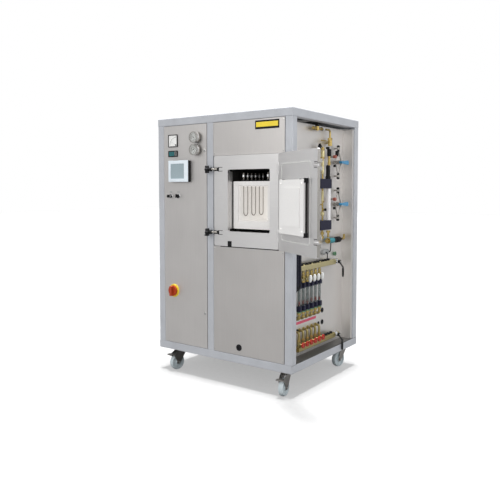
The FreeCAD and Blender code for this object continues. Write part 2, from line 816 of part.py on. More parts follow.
def make_furnace_door():
    # Drawn closed, then swung open about the hinge line
    y_in = cab_front - face_out - door_gap
    y_out = y_in - leaf_t
    x1 = pivot_x - leaf_start
    x0 = x1 - leaf_w
    leaf = rounded_block(x0, x1, y_out, y_in, face_bottom_z, face_top_z, leaf_round, Y)
    jx1 = pivot_x - jacket_start
    jx0 = jx1 - jacket_w
    jz0 = leaf_mid_z - jacket_h / 2.0
    jz1 = jz0 + jacket_h
    wires = []
    for inset, y in ((0.0, y_out), (0.0, y_out - jacket_t + jacket_taper), (jacket_taper, y_out - jacket_t)):
        a, b, c, d = jx0 + inset, jx1 - inset, jz0 + inset, jz1 - inset
        wires.append(Part.makePolygon([Vector(a, y, c), Vector(b, y, c), Vector(b, y, d), Vector(a, y, d),
                                       Vector(a, y, c)]))
    jacket = Part.makeLoft(wires, True, True)
    hollow = block(jx0 + 3.0, jx1 - 3.0, y_out - jacket_t + 3.0 + jacket_taper, y_out, jz0 + 3.0, jz1 - 3.0)
    jacket = jacket.cut(hollow)
    notch_x = x0 + notch_depth
    pads = []
    notches = []
    for z in clamp_points():
        z_low = z - pad_h / 2.0
        outline = [Vector(x0, y_out, z_low), Vector(x0 + pad_w, y_out, z_low),
                   Vector(x0 + pad_w, y_out - pad_t, z_low), Vector(x0 + pad_bevel, y_out - pad_t, z_low),
                   Vector(x0, y_out - pad_t + pad_bevel, z_low), Vector(x0, y_out, z_low)]
        pads.append(Part.Face(Part.makePolygon(outline)).extrude(Z * pad_h))
        slot = block(x0 - 1.0, notch_x - notch_h / 2.0, y_out - pad_t - 1.0, y_in + 1.0,
                     z - notch_h / 2.0, z + notch_h / 2.0)
        slot = slot.fuse(rod(notch_x - notch_h / 2.0, y_out - pad_t - 1.0, z, notch_h / 2.0,
                             leaf_t + pad_t + 2.0, Y))
        notches.append(slot)
    knuckles = []
    for z in hinge_levels():
        base = z - hinge_knuckle / 2.0
        knuckle = rod(pivot_x, pivot_y, base, hinge_r, hinge_knuckle, Z)
        arm = block(x1 - 1.0, pivot_x, y_out, y_in, base, base + hinge_knuckle)
        knuckle = knuckle.fuse(arm)
        knuckles.append(knuckle)
    body = joined([leaf] + pads + knuckles)
    body = cut_all(body, notches)
    for z in hinge_levels():
        body = body.cut(rod(pivot_x, pivot_y, z - hinge_knuckle / 2.0 - 1.0, hinge_pin_r + run_fit,
                            hinge_knuckle + 2.0, Z))
    # Groove and bead of the door seal
    centre_x = pivot_x - plug_start - plug_w / 2.0
    body = body.cut(frame_strip(centre_x, leaf_mid_z, seal_w, seal_h, seal_groove, y_in - seal_depth, y_in + 1.0))
    bead = frame_strip(centre_x, leaf_mid_z, seal_w, seal_h, seal_groove, y_in - seal_depth, y_in + seal_proud)
    write("furnace_door", on_open_door([body, jacket]))
    write("door_seal", on_open_door([bead]))
    # Insulating plug: a dark core board and a white facing with a stepped centre
    px1 = pivot_x - plug_start
    px0 = px1 - plug_w
    pz0 = mouth_mid_z - plug_h / 2.0 + plug_drop()
    pz1 = pz0 + plug_h
    inset = plug_core_inset
    core = block(px0 + inset, px1 - inset, y_in, y_in + plug_core, pz0 + inset, pz1 - inset)
    face_y = y_in + plug_core
    board = rounded_block(px0, px1, face_y, face_y + plug_board, pz0, pz1, 5.0, Y)
    step = plug_step_margin
    board = board.fuse(rounded_block(px0 + step, px1 - step, face_y + plug_board, face_y + plug_board + plug_step,
                                     pz0 + step, pz1 - step, 4.0, Y))
    corners = []
    for x in (px0 - 3.0, px1 - 15.0):
        for z in (pz0 - 3.0, pz1 - 15.0):
            corners.append(block(x, x + 18.0, y_in, y_in + plug_core, z, z + 18.0))
    write("door_plug", on_open_door([joined([core] + corners), board.removeSplitter()]))


def plug_drop():
    # The plug's middle lines up with the heating chamber's, a little below the mouth's
    return box_bottom_z + box_h / 2.0 - mouth_mid_z


def frame_strip(x, z, width, height, strip, y0, y1):
    outer = rounded_block(x - width / 2.0, x + width / 2.0, y0, y1, z - height / 2.0, z + height / 2.0, 20.0, Y)
    inner = rounded_block(x - width / 2.0 + strip, x + width / 2.0 - strip, y0 - 1.0, y1 + 1.0,
                          z - height / 2.0 + strip, z + height / 2.0 - strip, 20.0 - strip, Y)
    return outer.cut(inner)


def make_clamps():
    # Drawn clamped, pointing to the front, then swung out
    x = cab_right - clamp_right
    y = cab_front - face_out + face_t / 2.0
    pad_face = cab_front - face_out - door_gap - leaf_t - pad_t
    hub_start = y - pad_face + clamp_slack
    for name, z in zip(("lower", "upper"), clamp_points()):
        eye = rod(x, y, z - eye_h / 2.0, eye_r, eye_h, Z)
        shank = rod(x, y, z, bolt_r, bolt_len, Y * -1)
        bolt = joined([eye, shank]).cut(rod(x, y, z - eye_h, clamp_pin_r + run_fit, 2 * eye_h, Z))
        hub = cone(x, y - hub_start, z, knob_r * 0.5, knob_r * 0.42, knob_hub, Y * -1)
        star_y = y - hub_start - knob_hub
        star = rod(x, star_y, z, knob_r * 0.78, knob_t, Y * -1)
        for i in range(knob_lobes):
            angle = math.radians(360.0 / knob_lobes * i)
            lobe_r = knob_r * 0.26
            reach = knob_r - lobe_r
            star = star.fuse(rod(x + reach * math.cos(angle), star_y, z + reach * math.sin(angle), lobe_r,
                                 knob_t, Y * -1))
        knob = joined([hub, star])
        knob = knob.cut(rod(x, y, z, bolt_r + run_fit, bolt_len + 1.0, Y * -1))
        write("swing_bolt_" + name, [turned(bolt, x, y, 0.0, Z, -clamp_rest_angle)])
        write("clamp_knob_" + name, [turned(knob, x, y, 0.0, Z, -clamp_rest_angle)])


def castor_corners():
    # Name, kingpin and way of the trail of each castor
    corners = []
    for end, edge, way in (("front", cab_front, 1), ("back", cab_back, -1)):
        for side, flank, inward in (("right", cab_right, -1), ("left", cab_left, 1)):
            name = end + "_" + side
            corners.append((name, flank + inward * castor_inset_x[side], edge + way * castor_inset_y[side],
                            castor_turns[name]))
    return corners


def make_castors():
    plates = []
    for name, x, y, turn in castor_corners():
        half = castor_plate / 2.0
        plate_z = cab_bottom - castor_plate_t
        plate = rounded_block(x - half, x + half, y - half, y + half, plate_z, cab_bottom, 8.0, Z)
        neck = rod(x, y, plate_z - 30.0, kingpin_r, 30.0, Z)
        cap = rod(x, y, plate_z - 34.0, kingpin_r + 6.0, 4.0, Z)
        race = rod(x, y, plate_z - 5.0, 26.0, 5.0, Z)
        plates.append(joined([plate, race, neck, cap]))
        # Drawn with the trail towards +X, then turned about the kingpin
        top = plate_z - 5.0 - body_gap
        crown_t = 12.0
        crown = rod(x, y, top - crown_t, 34.0, crown_t, Z)
        axle_x = x + castor_trail
        inside = wheel_w / 2.0 + fork_gap
        braked = name.startswith("front")
        px, pz = pedal_pivot(x)
        legs = []
        for way in (-1, 1):
            y0 = y + way * inside if way > 0 else y - inside - fork_t
            profile = [Vector(x - 26.0, y0, top - 2.0), Vector(x + 34.0, y0, top - 2.0)]
            if braked:
                profile += [Vector(px + 9.0, y0, pz + 6.0), Vector(px + 9.0, y0, pz - 8.0)]
            profile += [Vector(axle_x + 16.0, y0, wheel_r + 6.0), Vector(axle_x + 8.0, y0, wheel_r - 16.0),
                        Vector(axle_x - 10.0, y0, wheel_r - 16.0), Vector(x - 26.0, y0, top - 34.0)]
            face = Part.Face(Part.makePolygon(profile + [profile[0]]))
            legs.append(face.extrude(Y * fork_t))
        top_plate = block(x - 26.0, x + 30.0, y - inside - fork_t, y + inside + fork_t, top - 6.0, top - 2.0)
        fork = joined([crown, top_plate] + legs)
        bore = rod(x, y, top - crown_t - 1.0, kingpin_r + run_fit, crown_t + 3.0, Z)
        recess = rod(x, y, top - crown_t - 12.0, kingpin_r + 8.0, 12.0 - 0.001, Z)
        fork = fork.cut(bore).cut(recess)
        axle = rod(axle_x, y - inside - fork_t - 4.0, wheel_r, axle_r, 2 * (inside + fork_t + 4.0), Y)
        heads = [rod(axle_x, y - inside - fork_t - 4.0, wheel_r, axle_r + 4.0, 4.0, Y),
                 rod(axle_x, y + inside + fork_t, wheel_r, axle_r + 4.0, 4.0, Y)]
        if braked:
            heads.append(rod(px, y - inside - fork_t - 2.0, pz, pedal_pin_r, 2 * (inside + fork_t + 2.0), Y))
        fork = joined([fork, axle] + heads)
        wheel = wheel_solid(axle_x, y, wheel_r)
        write("castor_fork_" + name, [turned(fork, x, y, 0.0, Z, turn)])
        write("castor_wheel_" + name, [turned(wheel, x, y, 0.0, Z, turn)])
        if braked:
            pedal = brake_pedal(px, y, pz, inside - body_gap)
            write("castor_brake_" + name, [turned(pedal, x, y, 0.0, Z, turn)])
    write("castor_plates", plates)


def wheel_solid(x, y, z):
    # Half section turned round the axle: crowned tread, recessed web and a hub
    half = wheel_w / 2.0
    bore = axle_r + run_fit
    points = [Vector(bore, -half, 0), Vector(20.0, -half, 0), Vector(24.0, -half + 8.0, 0),
              Vector(wheel_r - 16.0, -half + 8.0, 0), Vector(wheel_r - 14.0, -half + 1.0, 0),
              Vector(wheel_r - 4.0, -half + 1.0, 0)]
    mirrored = [Vector(p.x, -p.y, 0) for p in reversed(points)]
    edges = []
    for a, b in zip(points, points[1:]):
        edges.append(Part.LineSegment(a, b).toShape())
    crown = Part.Arc(points[-1], Vector(wheel_r, 0, 0), mirrored[0])
    edges.append(crown.toShape())
    for a, b in zip(mirrored, mirrored[1:]):
        edges.append(Part.LineSegment(a, b).toShape())
    edges.append(Part.LineSegment(mirrored[-1], points[0]).toShape())
    face = Part.Face(Part.Wire(edges))
    wheel = face.revolve(Vector(0, 0, 0), Vector(0, 1, 0), 360.0)
    return wheel.translated(Vector(x, y, z))


def pedal_pivot(x):
    return x + castor_trail + pedal_ahead, wheel_r + pedal_above


def brake_pedal(px, y, pz, half):
    # Hub between the fork's legs with a cranked tread that sticks out behind the wheel
    hub = rod(px, y - half, pz, pedal_pin_r + 3.0, 2 * half, Y)
    neck = block(px - 2.0, px + 16.0, y - half, y + half, pz + 3.0, pz + 9.0)
    tread = rounded_block(px + 14.0, px + 46.0, y - half - 9.0, y + half + 9.0, pz + 3.0, pz + 9.0, 6.0, Z)
    lip = block(px + 40.0, px + 46.0, y - half, y + half, pz + 9.0, pz + 13.0)
    pedal = joined([hub, neck, tread, lip])
    return pedal.cut(rod(px, y - half - 1.0, pz, pedal_pin_r + run_fit, 2 * half + 2.0, Y))


def make_bay_panel():
    y0 = cab_front + tube
    y1 = cab_front + bay_end
    z0 = bay_floor
    edge = cab_right - tube / 6.0
    back = block(bay_x - sheet, bay_x, y0, y1 + sheet, z0 - sheet, bay_top)
    front_fold = block(bay_x - sheet, cab_right - tube / 3.0, y0, y0 + sheet, z0 - sheet, bay_top)
    rear_fold = block(bay_x - sheet, edge, y1, y1 + sheet, z0 - sheet, bay_top)
    rear_lip = block(edge - sheet, edge, y1, cab_back - tube, z0 - sheet, bay_top)
    ledge = block(bay_x - sheet, cab_right - tube / 2.0, y0, y1 + sheet, z0 - sheet, z0)
    tray = joined([back, front_fold, rear_fold, rear_lip, ledge])
    bushes = []
    for y, z, r in bay_holes():
        tray = tray.cut(rod(bay_x - 2 * sheet, y, z, r - 3.0, 4 * sheet, X))
        bush = rod(bay_x, y, z, r, 3.0, X).fuse(rod(bay_x - 6.0, y, z, r - 3.0, 6.0, X))
        bushes.append(bush.removeSplitter().cut(rod(bay_x - 7.0, y, z, r - 8.0, 8.0, X)))
    write("service_bay_panel", [tray] + bushes)


def bay_holes():
    # Spare grommets behind and between the two rows of pipe ends
    between = cab_front + circuit_first + circuit_pitch / 2.0
    holes = [(cab_front + small_bush_y, cab_bottom + inlet_z, small_bush_r)]
    for z in (outlet_z, inlet_z):
        holes.append((between, cab_bottom + z, small_bush_r))
        holes.append((cab_front + bush_y, cab_bottom + z, bush_r))
    return holes


def circuit_ys():
    return [cab_front + circuit_first + i * circuit_pitch for i in range(circuits)]


def bent_pipe(points, bend, radius):
    # Round pipe along straight runs with one arc at each inner point
    edges = []
    start = points[0]
    for before, corner, after in zip(points, points[1:], points[2:]):
        into = (corner - before).normalize()
        out = (after - corner).normalize()
        turn = into.getAngle(out)
        tangent = bend * math.tan(turn / 2.0)
        a = corner - into * tangent
        b = corner + out * tangent
        middle_way = (out - into).normalize()
        centre_far = bend / math.cos(turn / 2.0)
        m = corner + middle_way * (centre_far - bend)
        edges.append(Part.LineSegment(start, a).toShape())
        edges.append(Part.Arc(a, m, b).toShape())
        start = b
    edges.append(Part.LineSegment(start, points[-1]).toShape())
    path = Part.Wire(edges)
    first = (points[1] - points[0]).normalize()
    circle = Part.Wire([Part.makeCircle(radius, points[0], first)])
    return path.makePipeShell([circle], True, False)


def make_water():
    x = water_plane
    brass = []
    half = bar / 2.0
    for z in (cab_bottom + supply_z, cab_bottom + return_z):
        beam = round_edges(block(x - half, x + half, cab_front + bar_start, cab_front + bar_end,
                                 z - half, z + half), 7.0, runs_along(Y))
        # Screwed plugs along the top and stand-offs to the panel
        extras = []
        for y in circuit_ys():
            extras.append(rod(x, y, z + half, 11.0, 7.0, Z))
        for y in (cab_front + bar_start + 14.0, cab_front + bar_end - 90.0):
            extras.append(rod(bay_x, y, z, 8.0, x - half - bay_x + 1.0, X))
        # Ball valve body at the back end
        y_end = cab_front + bar_end
        extras.append(rod(x, y_end - 1.0, z, ball_valve_r, ball_valve_len, Y))
        extras.append(rod(x, y_end - 1.0 + ball_valve_len, z, 13.0, 22.0, Y))
        extras.append(rod(x, y_end + ball_valve_len / 2.0, z, 8.0, lever_plane() - x, X))
        brass.append(joined([beam] + extras))
    # Six branches: stop valve, flow meter in the middle, union and elbow into the panel
    top = cab_bottom + supply_z - half
    for y in circuit_ys():
        upper_end = cab_bottom + flow_tube_top + flow_block_h
        body = [rod(x, y, upper_end, pipe_r, top - upper_end, Z),
                rod(x, y, upper_end + 14.0, 15.0, 30.0, Z), rod(x, y, upper_end + 29.0, 7.0, 26.0, X)]
        brass.append(joined(body))
        low_end = cab_bottom + flow_tube_bottom - flow_block_h
        z = cab_bottom + outlet_z
        elbow = bent_pipe([Vector(x, y, low_end), Vector(x, y, z), Vector(bay_x, y, z)], 16.0, pipe_r)
        nut = rod(x, y, low_end - 22.0, 13.0, 18.0, Z)
        flange = rod(bay_x, y, z, 14.0, 6.0, X)
        brass.append(joined([elbow, nut, flange]))
        z = cab_bottom + inlet_z
        return_top = cab_bottom + return_z + half + 7.0
        elbow = bent_pipe([Vector(bay_x, y, z), Vector(x, y, z), Vector(x, y, return_top)], 16.0, pipe_r)
        flange = rod(bay_x, y, z, 14.0, 6.0, X)
        # Regulating valve between the elbow and the return bar: barrel, bonnet and spindle
        barrel = rod(x, y, return_top, 14.0, 26.0, Z)
        bonnet = cone(x + 12.0, y, bonnet_z(), 11.0, 8.0, bonnet_len, X)
        spindle = rod(x + bonnet_len, y, bonnet_z(), wheel_stem_r, handwheel_start() - x - bonnet_len + 6.0, X)
        brass.append(joined([elbow, barrel, flange, bonnet, spindle]))
    write("water_manifolds", brass)
    tubes = []
    blocks = []
    for y in circuit_ys():
        z0 = cab_bottom + flow_tube_bottom
        z1 = cab_bottom + flow_tube_top
        tubes.append(pipe(x, y, z0, flow_tube_r, flow_tube_r - flow_tube_wall, z1 - z0, Z))
        for z in (z0 - flow_block_h, z1):
            lug = round_edges(block(x - flow_block / 2.0, x + flow_block / 2.0, y - flow_block / 2.0,
                                    y + flow_block / 2.0, z, z + flow_block_h), 8.0, runs_along(Z))
            blocks.append(lug)
    write("flow_meter_tubes", tubes)
    write("flow_meter_blocks", blocks)
    for i, y in enumerate(circuit_ys()):
        write("flow_handwheel_%d" % (i + 1), [handwheel(y)])
    for name, z in (("supply", supply_z), ("return", return_z)):
        write("shutoff_lever_" + name, [shutoff_lever(cab_bottom + z)])
    write("cooling_hoses", [cooling_hose(i) for i in range(2)])


def handwheel_start():
    return water_plane + 12.0 + bonnet_len + body_gap


def bonnet_z():
    return cab_bottom + return_z + bar / 2.0 + bonnet_rise


def handwheel(y):
    x = handwheel_start()
    z = bonnet_z()
    wheel = rod(x, y, z, handwheel_r, handwheel_t, X)
    wheel = wheel.cut(rod(x + 4.0, y, z, handwheel_r - 5.0, handwheel_t, X))
    wheel = wheel.fuse(rod(x, y, z, 8.0, handwheel_t, X))
    for i in range(8):
        angle = math.radians(45.0 * i)
        wheel = wheel.cut(rod(x - 1.0, y + (handwheel_r + 2.0) * math.cos(angle),
                              z + (handwheel_r + 2.0) * math.sin(angle), 5.0, handwheel_t + 2.0, X))
    return wheel.cut(rod(x - 1.0, y, z, wheel_stem_r + run_fit, 8.0, X)).removeSplitter()


def lever_plane():
    return cab_right - 20.0


def shutoff_lever(z):
    # Flat lever cranked outwards: hub on the stem, a sloping run, then a hanging arm in a rounded grip
    x = lever_plane()
    y = cab_front + bar_end + ball_valve_len / 2.0
    hub = rod(x - 10.0, y, z, 13.0, 16.0, X)
    bore = rod(x - 11.0, y, z, 8.0 + run_fit, 11.0 + body_gap, X)
    near = x + 2.0
    far = near + lever_crank
    bend = z - 12.0
    knee = bend - lever_crank * 1.2
    profile = [Vector(near, 0, z), Vector(near, 0, bend), Vector(far, 0, knee), Vector(far, 0, z - lever_reach),
               Vector(far + lever_t, 0, z - lever_reach), Vector(far + lever_t, 0, knee + 2.0),
               Vector(near + lever_t, 0, bend + 2.0), Vector(near + lever_t, 0, z)]
    strip = Part.Face(Part.makePolygon(profile + [profile[0]])).extrude(Y * lever_w)
    strip.translate(Vector(0, y - lever_w / 2.0, 0))
    end = rod(far, y, z - lever_reach, lever_w / 2.0, lever_t, X)
    grip = round_edges(block(far - 3.0, far + lever_t + 3.0, y - lever_w / 2.0 - 2.0, y + lever_w / 2.0 + 2.0,
                             z - lever_reach + 2.0, z - lever_reach + grip_len), 4.0, runs_along(Z))
    return joined([hub, strip, end, grip]).cut(bore)


def cooling_hose(i):
    y = cab_front + hose_front + hose_pitch * i
    x = cab_right - hose_out
    top = cab_bottom + hose_top_z - hose_top_step * i
    low = cab_bottom + hose_end_z + hose_end_step * i
    return bent_pipe([Vector(bay_x, y, top), Vector(x, y, top), Vector(x, y, low), Vector(bay_x, y, low)],
                     hose_bend, hose_r)


def make_gas():
    x = gas_plane
    riser_top = gas_top - 175.0
    riser_low = gas_top - transmitter_drop + 20.0
    riser = cab_front + riser_y
    brass = []
    # Riser with screwed couplings, standing off the panel on two posts
    parts = [rod(x, riser, riser_low, riser_r, riser_top - riser_low, Z)]
    for z in (riser_top - 24.0, riser_top - 90.0, riser_low + 34.0, riser_low + 4.0):
        parts.append(rod(x, riser, z, riser_r + 6.0, 20.0, Z))
    for z in (riser_top - 80.0, gas_top - (gas_block_drops[0] + gas_block_drops[1]) / 2.0):
        parts.append(rod(bay_x, riser, z, 6.0, x - bay_x, X))
    brass.append(joined(parts))
    # Small inlet valve high up, its body lying along the bay
    y = cab_front + inlet_valve_y
    z = gas_top - inlet_valve_drop
    valve = [rod(x, y - 60.0, z, 9.0, 130.0, Y), rod(x, y, z - 16.0, 13.0, 34.0, Z)]
    brass.append(joined(valve + [rod(bay_x, y, z, 8.0, x - bay_x, X)]))
    # Elbow pipe down to the ball valve body
    ye = cab_front + elbow_y
    ze = gas_top - lever_drop
    arch = bent_pipe([Vector(x, ye - 66.0, z + 2.0), Vector(x, ye, z + 2.0), Vector(x, ye, ze)], 20.0, 7.0)
    ball = rod(x, ye, ze - 34.0, 16.0, 50.0, Z)
    post = rod(bay_x, ye, ze - 10.0, 7.0, x - bay_x, X)
    brass.append(joined([arch, ball, post]))
    # Elbow with a cap beside the transmitter
    yt = cab_front + transmitter_y + transmitter_len + 44.0
    zt = gas_top - transmitter_drop + 12.0
    elbow = bent_pipe([Vector(x, yt - 24.0, zt - 12.0), Vector(x, yt + 20.0, zt - 12.0),
                       Vector(x, yt + 20.0, zt + 24.0)], 12.0, 9.0)
    brass.append(joined([elbow, rod(bay_x, yt - 10.0, zt - 12.0, 7.0, x - bay_x, X)]))
    write("gas_pipework", brass)
    # Variable-area flow meter: two end blocks and a tube
    meter = []
    tops = [gas_top - drop for drop in gas_block_drops]
    for z in tops:
        yb = cab_front + gas_block_y
        lug = rounded_block(bay_x, x + gas_block_out, yb - gas_block_w / 2.0, yb + gas_block_w / 2.0,
                            z - gas_block_h / 2.0, z + gas_block_h / 2.0, 6.0, X)
        lug = lug.cut(rod(x, riser, z - gas_block_h, riser_r + 0.2, 2 * gas_block_h, Z))
        meter.append(lug)
    low_face = tops[1] + gas_block_h / 2.0
    meter.append(pipe(x, cab_front + gas_tube_y, low_face, gas_tube_r, gas_tube_r - 4.0,
                      tops[0] - gas_block_h / 2.0 - low_face, Z))
    write("gas_flow_meter", meter)
    stations = []
    for i, drop in enumerate(station_drops):
        stations += valve_station(gas_top - drop)
        write("gas_lever_%d" % (i + 1), [gas_lever(gas_top - drop)])
    stations += transmitter()
    write("gas_valve_stations", stations)


def valve_station(z):
    # Central valve body with two bowed tubes that meet at a fitting above and below
    x = gas_plane
    y = cab_front + station_y
    parts = [rod(bay_x, y, z, station_body_r, x - bay_x + 14.0, X),
             rod(x, y - 28.0, z, 9.0, 56.0, Y)]
    fittings = []
    for way in (-1, 1):
        end = z + way * station_half
        fittings.append(rod(x, y, end - 14.0, 10.0, 28.0, Z))
        fittings.append(rod(bay_x, y, end, 6.0, x - bay_x, X))
    tubes = []
    for side in (-1, 1):
        for way in (-1, 1):
            a = Vector(x, y + side * station_bow, z + way * 10.0)
            b = Vector(x, y + side * 5.0, z + way * (station_half - 14.0))
            low = Vector(x, y + side * 28.0, z)
            tubes.append(Part.makeCylinder(station_tube_r, (b - a).Length, a, b - a))
            tubes.append(Part.makeCylinder(station_tube_r, (a - low).Length, low, a - low))
            tubes.append(Part.makeSphere(station_tube_r, a))
    cap = rod(x, y - gas_cap_y, z + gas_cap_z, gas_cap_r, 22.0, X)
    seat = rod(bay_x, y - gas_cap_y, z + gas_cap_z, gas_cap_r * 0.6, x - bay_x, X)
    spindle = rod(x, y, z, 5.0, 24.0, X)
    return [joined(parts + fittings + tubes + [spindle]), joined([cap, seat])]


def gas_lever(z):
    # Lever that points to the back of the bay and widens to its rounded end
    x = gas_plane + 14.0 + body_gap
    y = cab_front + station_y
    x_arm = x + gas_lever_out
    y_end = y + gas_lever_len
    hub = rod(x, y, z, 10.0, gas_lever_out + 10.0, X)
    profile = [Vector(x_arm, y, z - 8.0), Vector(x_arm, y_end, z - gas_lever_r),
               Vector(x_arm, y_end, z + gas_lever_r), Vector(x_arm, y, z + 8.0)]
    arm = Part.Face(Part.makePolygon(profile + [profile[0]])).extrude(X * 9.0)
    tip = rod(x_arm, y_end, z, gas_lever_r, 9.0, X)
    bore = rod(x - 1.0, y, z, 5.0 + run_fit, 11.0 + body_gap, X)
    return joined([hub, arm, tip]).cut(bore)


def transmitter():
    # Pressure transmitter that lies along the bay on a saddle
    x = gas_plane
    y = cab_front + transmitter_y
    z = gas_top - transmitter_drop
    r = transmitter_r
    body = [rod(bay_x, y + 68.0, z, 9.0, x - bay_x, X)]
    for start, share, end in ((0.0, 0.55, 34.0), (30.0, 1.0, 106.0), (100.0, 0.9, 160.0), (156.0, 1.05, 212.0),
                              (210.0, 0.6, transmitter_len)):
        body.append(rod(x, y + start, z, r * share, end - start, Y))
    glands = []
    zg = cab_bottom + gland_z
    for k in range(2):
        glands.append(rod(bay_x, y + 48.0 * k, zg, 19.0, 16.0, X))
    glands.append(pipe(bay_x, y + 190.0, zg - 28.0, 15.0, 9.0, 12.0, X))
    return [joined(body)] + glands


def make_control_door():
    y0 = cab_front
    leaf = pan(door_x0, door_x1, y0, y0 + panel_fold + sheet, door_z0, door_z1, Y)
    pin_x = door_x0 + hinge_inset
    pin_y = cab_front + hinge_inset
    for z in (door_z0 - 1.0, door_z1 - sheet - 1.0):
        leaf = leaf.cut(rod(pin_x, pin_y, z, cupboard_pin_r + run_fit, sheet + 2.0, Z))
    left = door_x0
    holes = [
        block(left + meter_x + bezel, left + meter_x + meter_w - bezel, y0 - 1.0, y0 + sheet + 1.0,
              cab_bottom + meter_z + bezel, cab_bottom + meter_z + meter_h - bezel),
        block(left + meter_x + bezel, left + meter_x + meter_w - bezel, y0 - 1.0, y0 + sheet + 1.0,
              cab_bottom + reader_z + bezel, cab_bottom + reader_z + reader_h - bezel)]
    leaf = cut_all(leaf, holes)
    write("control_door", [leaf])
    instruments = [instrument(left + meter_x, cab_bottom + meter_z, meter_w, meter_h, meter_depth),
                   instrument(left + meter_x, cab_bottom + reader_z, meter_w, reader_h, meter_depth + 20.0)]
    for z in gauge_z:
        x = left + gauge_x
        case = rod(x, y0 - gauge_len, cab_bottom + z, gauge_r, gauge_len - 14.0, Y)
        case = case.cut(rod(x, y0 - gauge_len - 1.0, cab_bottom + z, gauge_r - 5.0, 5.0, Y))
        stem = rod(x, y0 - 15.0, cab_bottom + z, gauge_stem_r, 15.0, Y)
        flange = rod(x, y0 - 4.0, cab_bottom + z, gauge_r * 0.55, 4.0, Y)
        instruments.append(joined([case, stem, flange]))
    for x in switch_x:
        base = rod(left + x, y0 - switch_len, cab_bottom + switch_z, switch_r, switch_len, Y)
        nose = rod(left + x, y0 - switch_len - 4.0, cab_bottom + switch_z, 4.0, 4.0, Y)
        instruments.append(joined([base, nose]))
    collar = cone(left + main_x, y0, cab_bottom + main_z, main_collar_r, main_collar_r - 3.0, main_collar_t,
                  Y * -1)
    hub = rod(left + main_x, y0 - main_collar_t - 6.0, cab_bottom + main_z, 5.0, 6.0, Y)
    instruments.append(joined([collar, hub]))
    write("door_instruments", instruments)
    x0 = left + screen_x
    z0 = cab_bottom + screen_z
    housing = rounded_block(x0, x0 + screen_w, y0 - screen_t, y0, z0, z0 + screen_h, 8.0, Y)
    window = block(x0 + 22.0, x0 + screen_w - 44.0, y0 - screen_t - 1.0, y0 - screen_t + 2.0, z0 + 22.0,
                   z0 + screen_h - 22.0)
    write("touch_panel", [housing.cut(window)])
    write("main_switch_knob", [main_knob(left + main_x, y0 - main_collar_t - body_gap, cab_bottom + main_z)])
    for name, x in zip(("key_switch", "selector_switch"), switch_x):
        write(name, [small_switch(name, left + x, y0 - switch_len - body_gap, cab_bottom + switch_z)])


def instrument(x, z, width, height, depth):
    y0 = cab_front
    frame = rounded_block(x, x + width, y0 - bezel, y0, z, z + height, 4.0, Y)
    frame = frame.cut(block(x + bezel, x + width - bezel, y0 - bezel - 1.0, y0 - bezel / 2.0,
                            z + bezel, z + height - bezel))
    can = block(x + bezel, x + width - bezel, y0, y0 + depth, z + bezel, z + height - bezel)
    return joined([frame, can])


def main_knob(x, y, z):
    # Round base with a raised grip bar across it
    base = rod(x, y, z, main_knob_r, main_knob_t * 0.45, Y * -1)
    grip = rounded_block(x - 11.0, x + 11.0, y - main_knob_t, y - main_knob_t * 0.45 + 1.0,
                         z - main_knob_r + 2.0, z + main_knob_r - 2.0, 5.0, Y)
    knob = joined([base, grip])
    return knob.cut(rod(x, y + 1.0, z, 5.0 + run_fit, 7.0 + body_gap, Y * -1))


def small_switch(name, x, y, z):
    # A turning head: a flat key bow, or a tapered pointer
    head = rod(x, y, z, 11.0, 9.0, Y * -1)
    if name == "key_switch":
        bow = rounded_block(x - 2.0, x + 2.0, y - 32.0, y - 8.0, z - 11.0, z + 11.0, 4.0, X)
        head = joined([head, bow])
    else:
        bar_shape = block(x - 4.0, x + 4.0, y - 20.0, y - 8.0, z - 11.0, z + 16.0)
        head = joined([head, bar_shape])
    return head.cut(rod(x, y + 1.0, z, 4.0 + run_fit, 5.0 + body_gap, Y * -1))


def make_control_gear():
    # Mounting plate with rows of switchgear between wiring ducts, and a transformer on the floor
    x0 = cupboard_left + gear_margin
    x1 = cupboard_right - gear_margin
    plate_y = cab_back - tube - gear_stay - gear_plate_t
    z0 = cab_bottom + tube + 260.0
    z1 = cab_top - tube - 60.0
    plate = block(x0, x1, plate_y, plate_y + gear_plate_t, z0, z1)
    stays = []
    stay_y = plate_y + gear_plate_t
    for z in (z0 + 60.0, z1 - 90.0):
        stays.append(block(cupboard_left - tube / 2.0, x0 + 20.0, stay_y, stay_y + gear_stay, z, z + 30.0))
        stays.append(block(x1 - 20.0, cupboard_right + tube / 2.0, stay_y, stay_y + gear_stay, z, z + 30.0))
    gear = []
    for z in din_rows:
        rail = block(x0 + 20.0, x1 - 20.0, plate_y - 8.0, plate_y, cab_bottom + z, cab_bottom + z + 35.0)
        gear.append(rail)
        count = int((x1 - x0 - 80.0) // (2 * breaker_w))
        for k in range(count):
            x = x0 + 40.0 + 2 * breaker_w * k
            base_z = cab_bottom + z + 17.5 - breaker_h / 2.0
            gear.append(block(x, x + 2 * breaker_w - 1.0, plate_y - 8.0 - breaker_d, plate_y - 8.0,
                              base_z, base_z + breaker_h))
        duct_z = cab_bottom + z + 100.0
        duct = block(x0 + 10.0, x1 - 10.0, plate_y - duct_w * 1.5, plate_y, duct_z, duct_z + duct_w)
        gear.append(duct)
    core_x = (cupboard_left + cupboard_right) / 2.0
    floor_z = cab_bottom + tube - sheet
    core_y = cab_front + 500.0
    core = block(core_x - 110.0, core_x + 110.0, core_y - 60.0, core_y + 60.0, floor_z, floor_z + 230.0)
    coils = [rounded_block(core_x + k * 72.0 - 32.0, core_x + k * 72.0 + 32.0, core_y - 95.0, core_y + 95.0,
                           floor_z + 45.0, floor_z + 185.0, 20.0, Z) for k in (-1, 0, 1)]
    write("control_gear", [joined([plate] + stays)] + gear + [joined([core] + coils)])


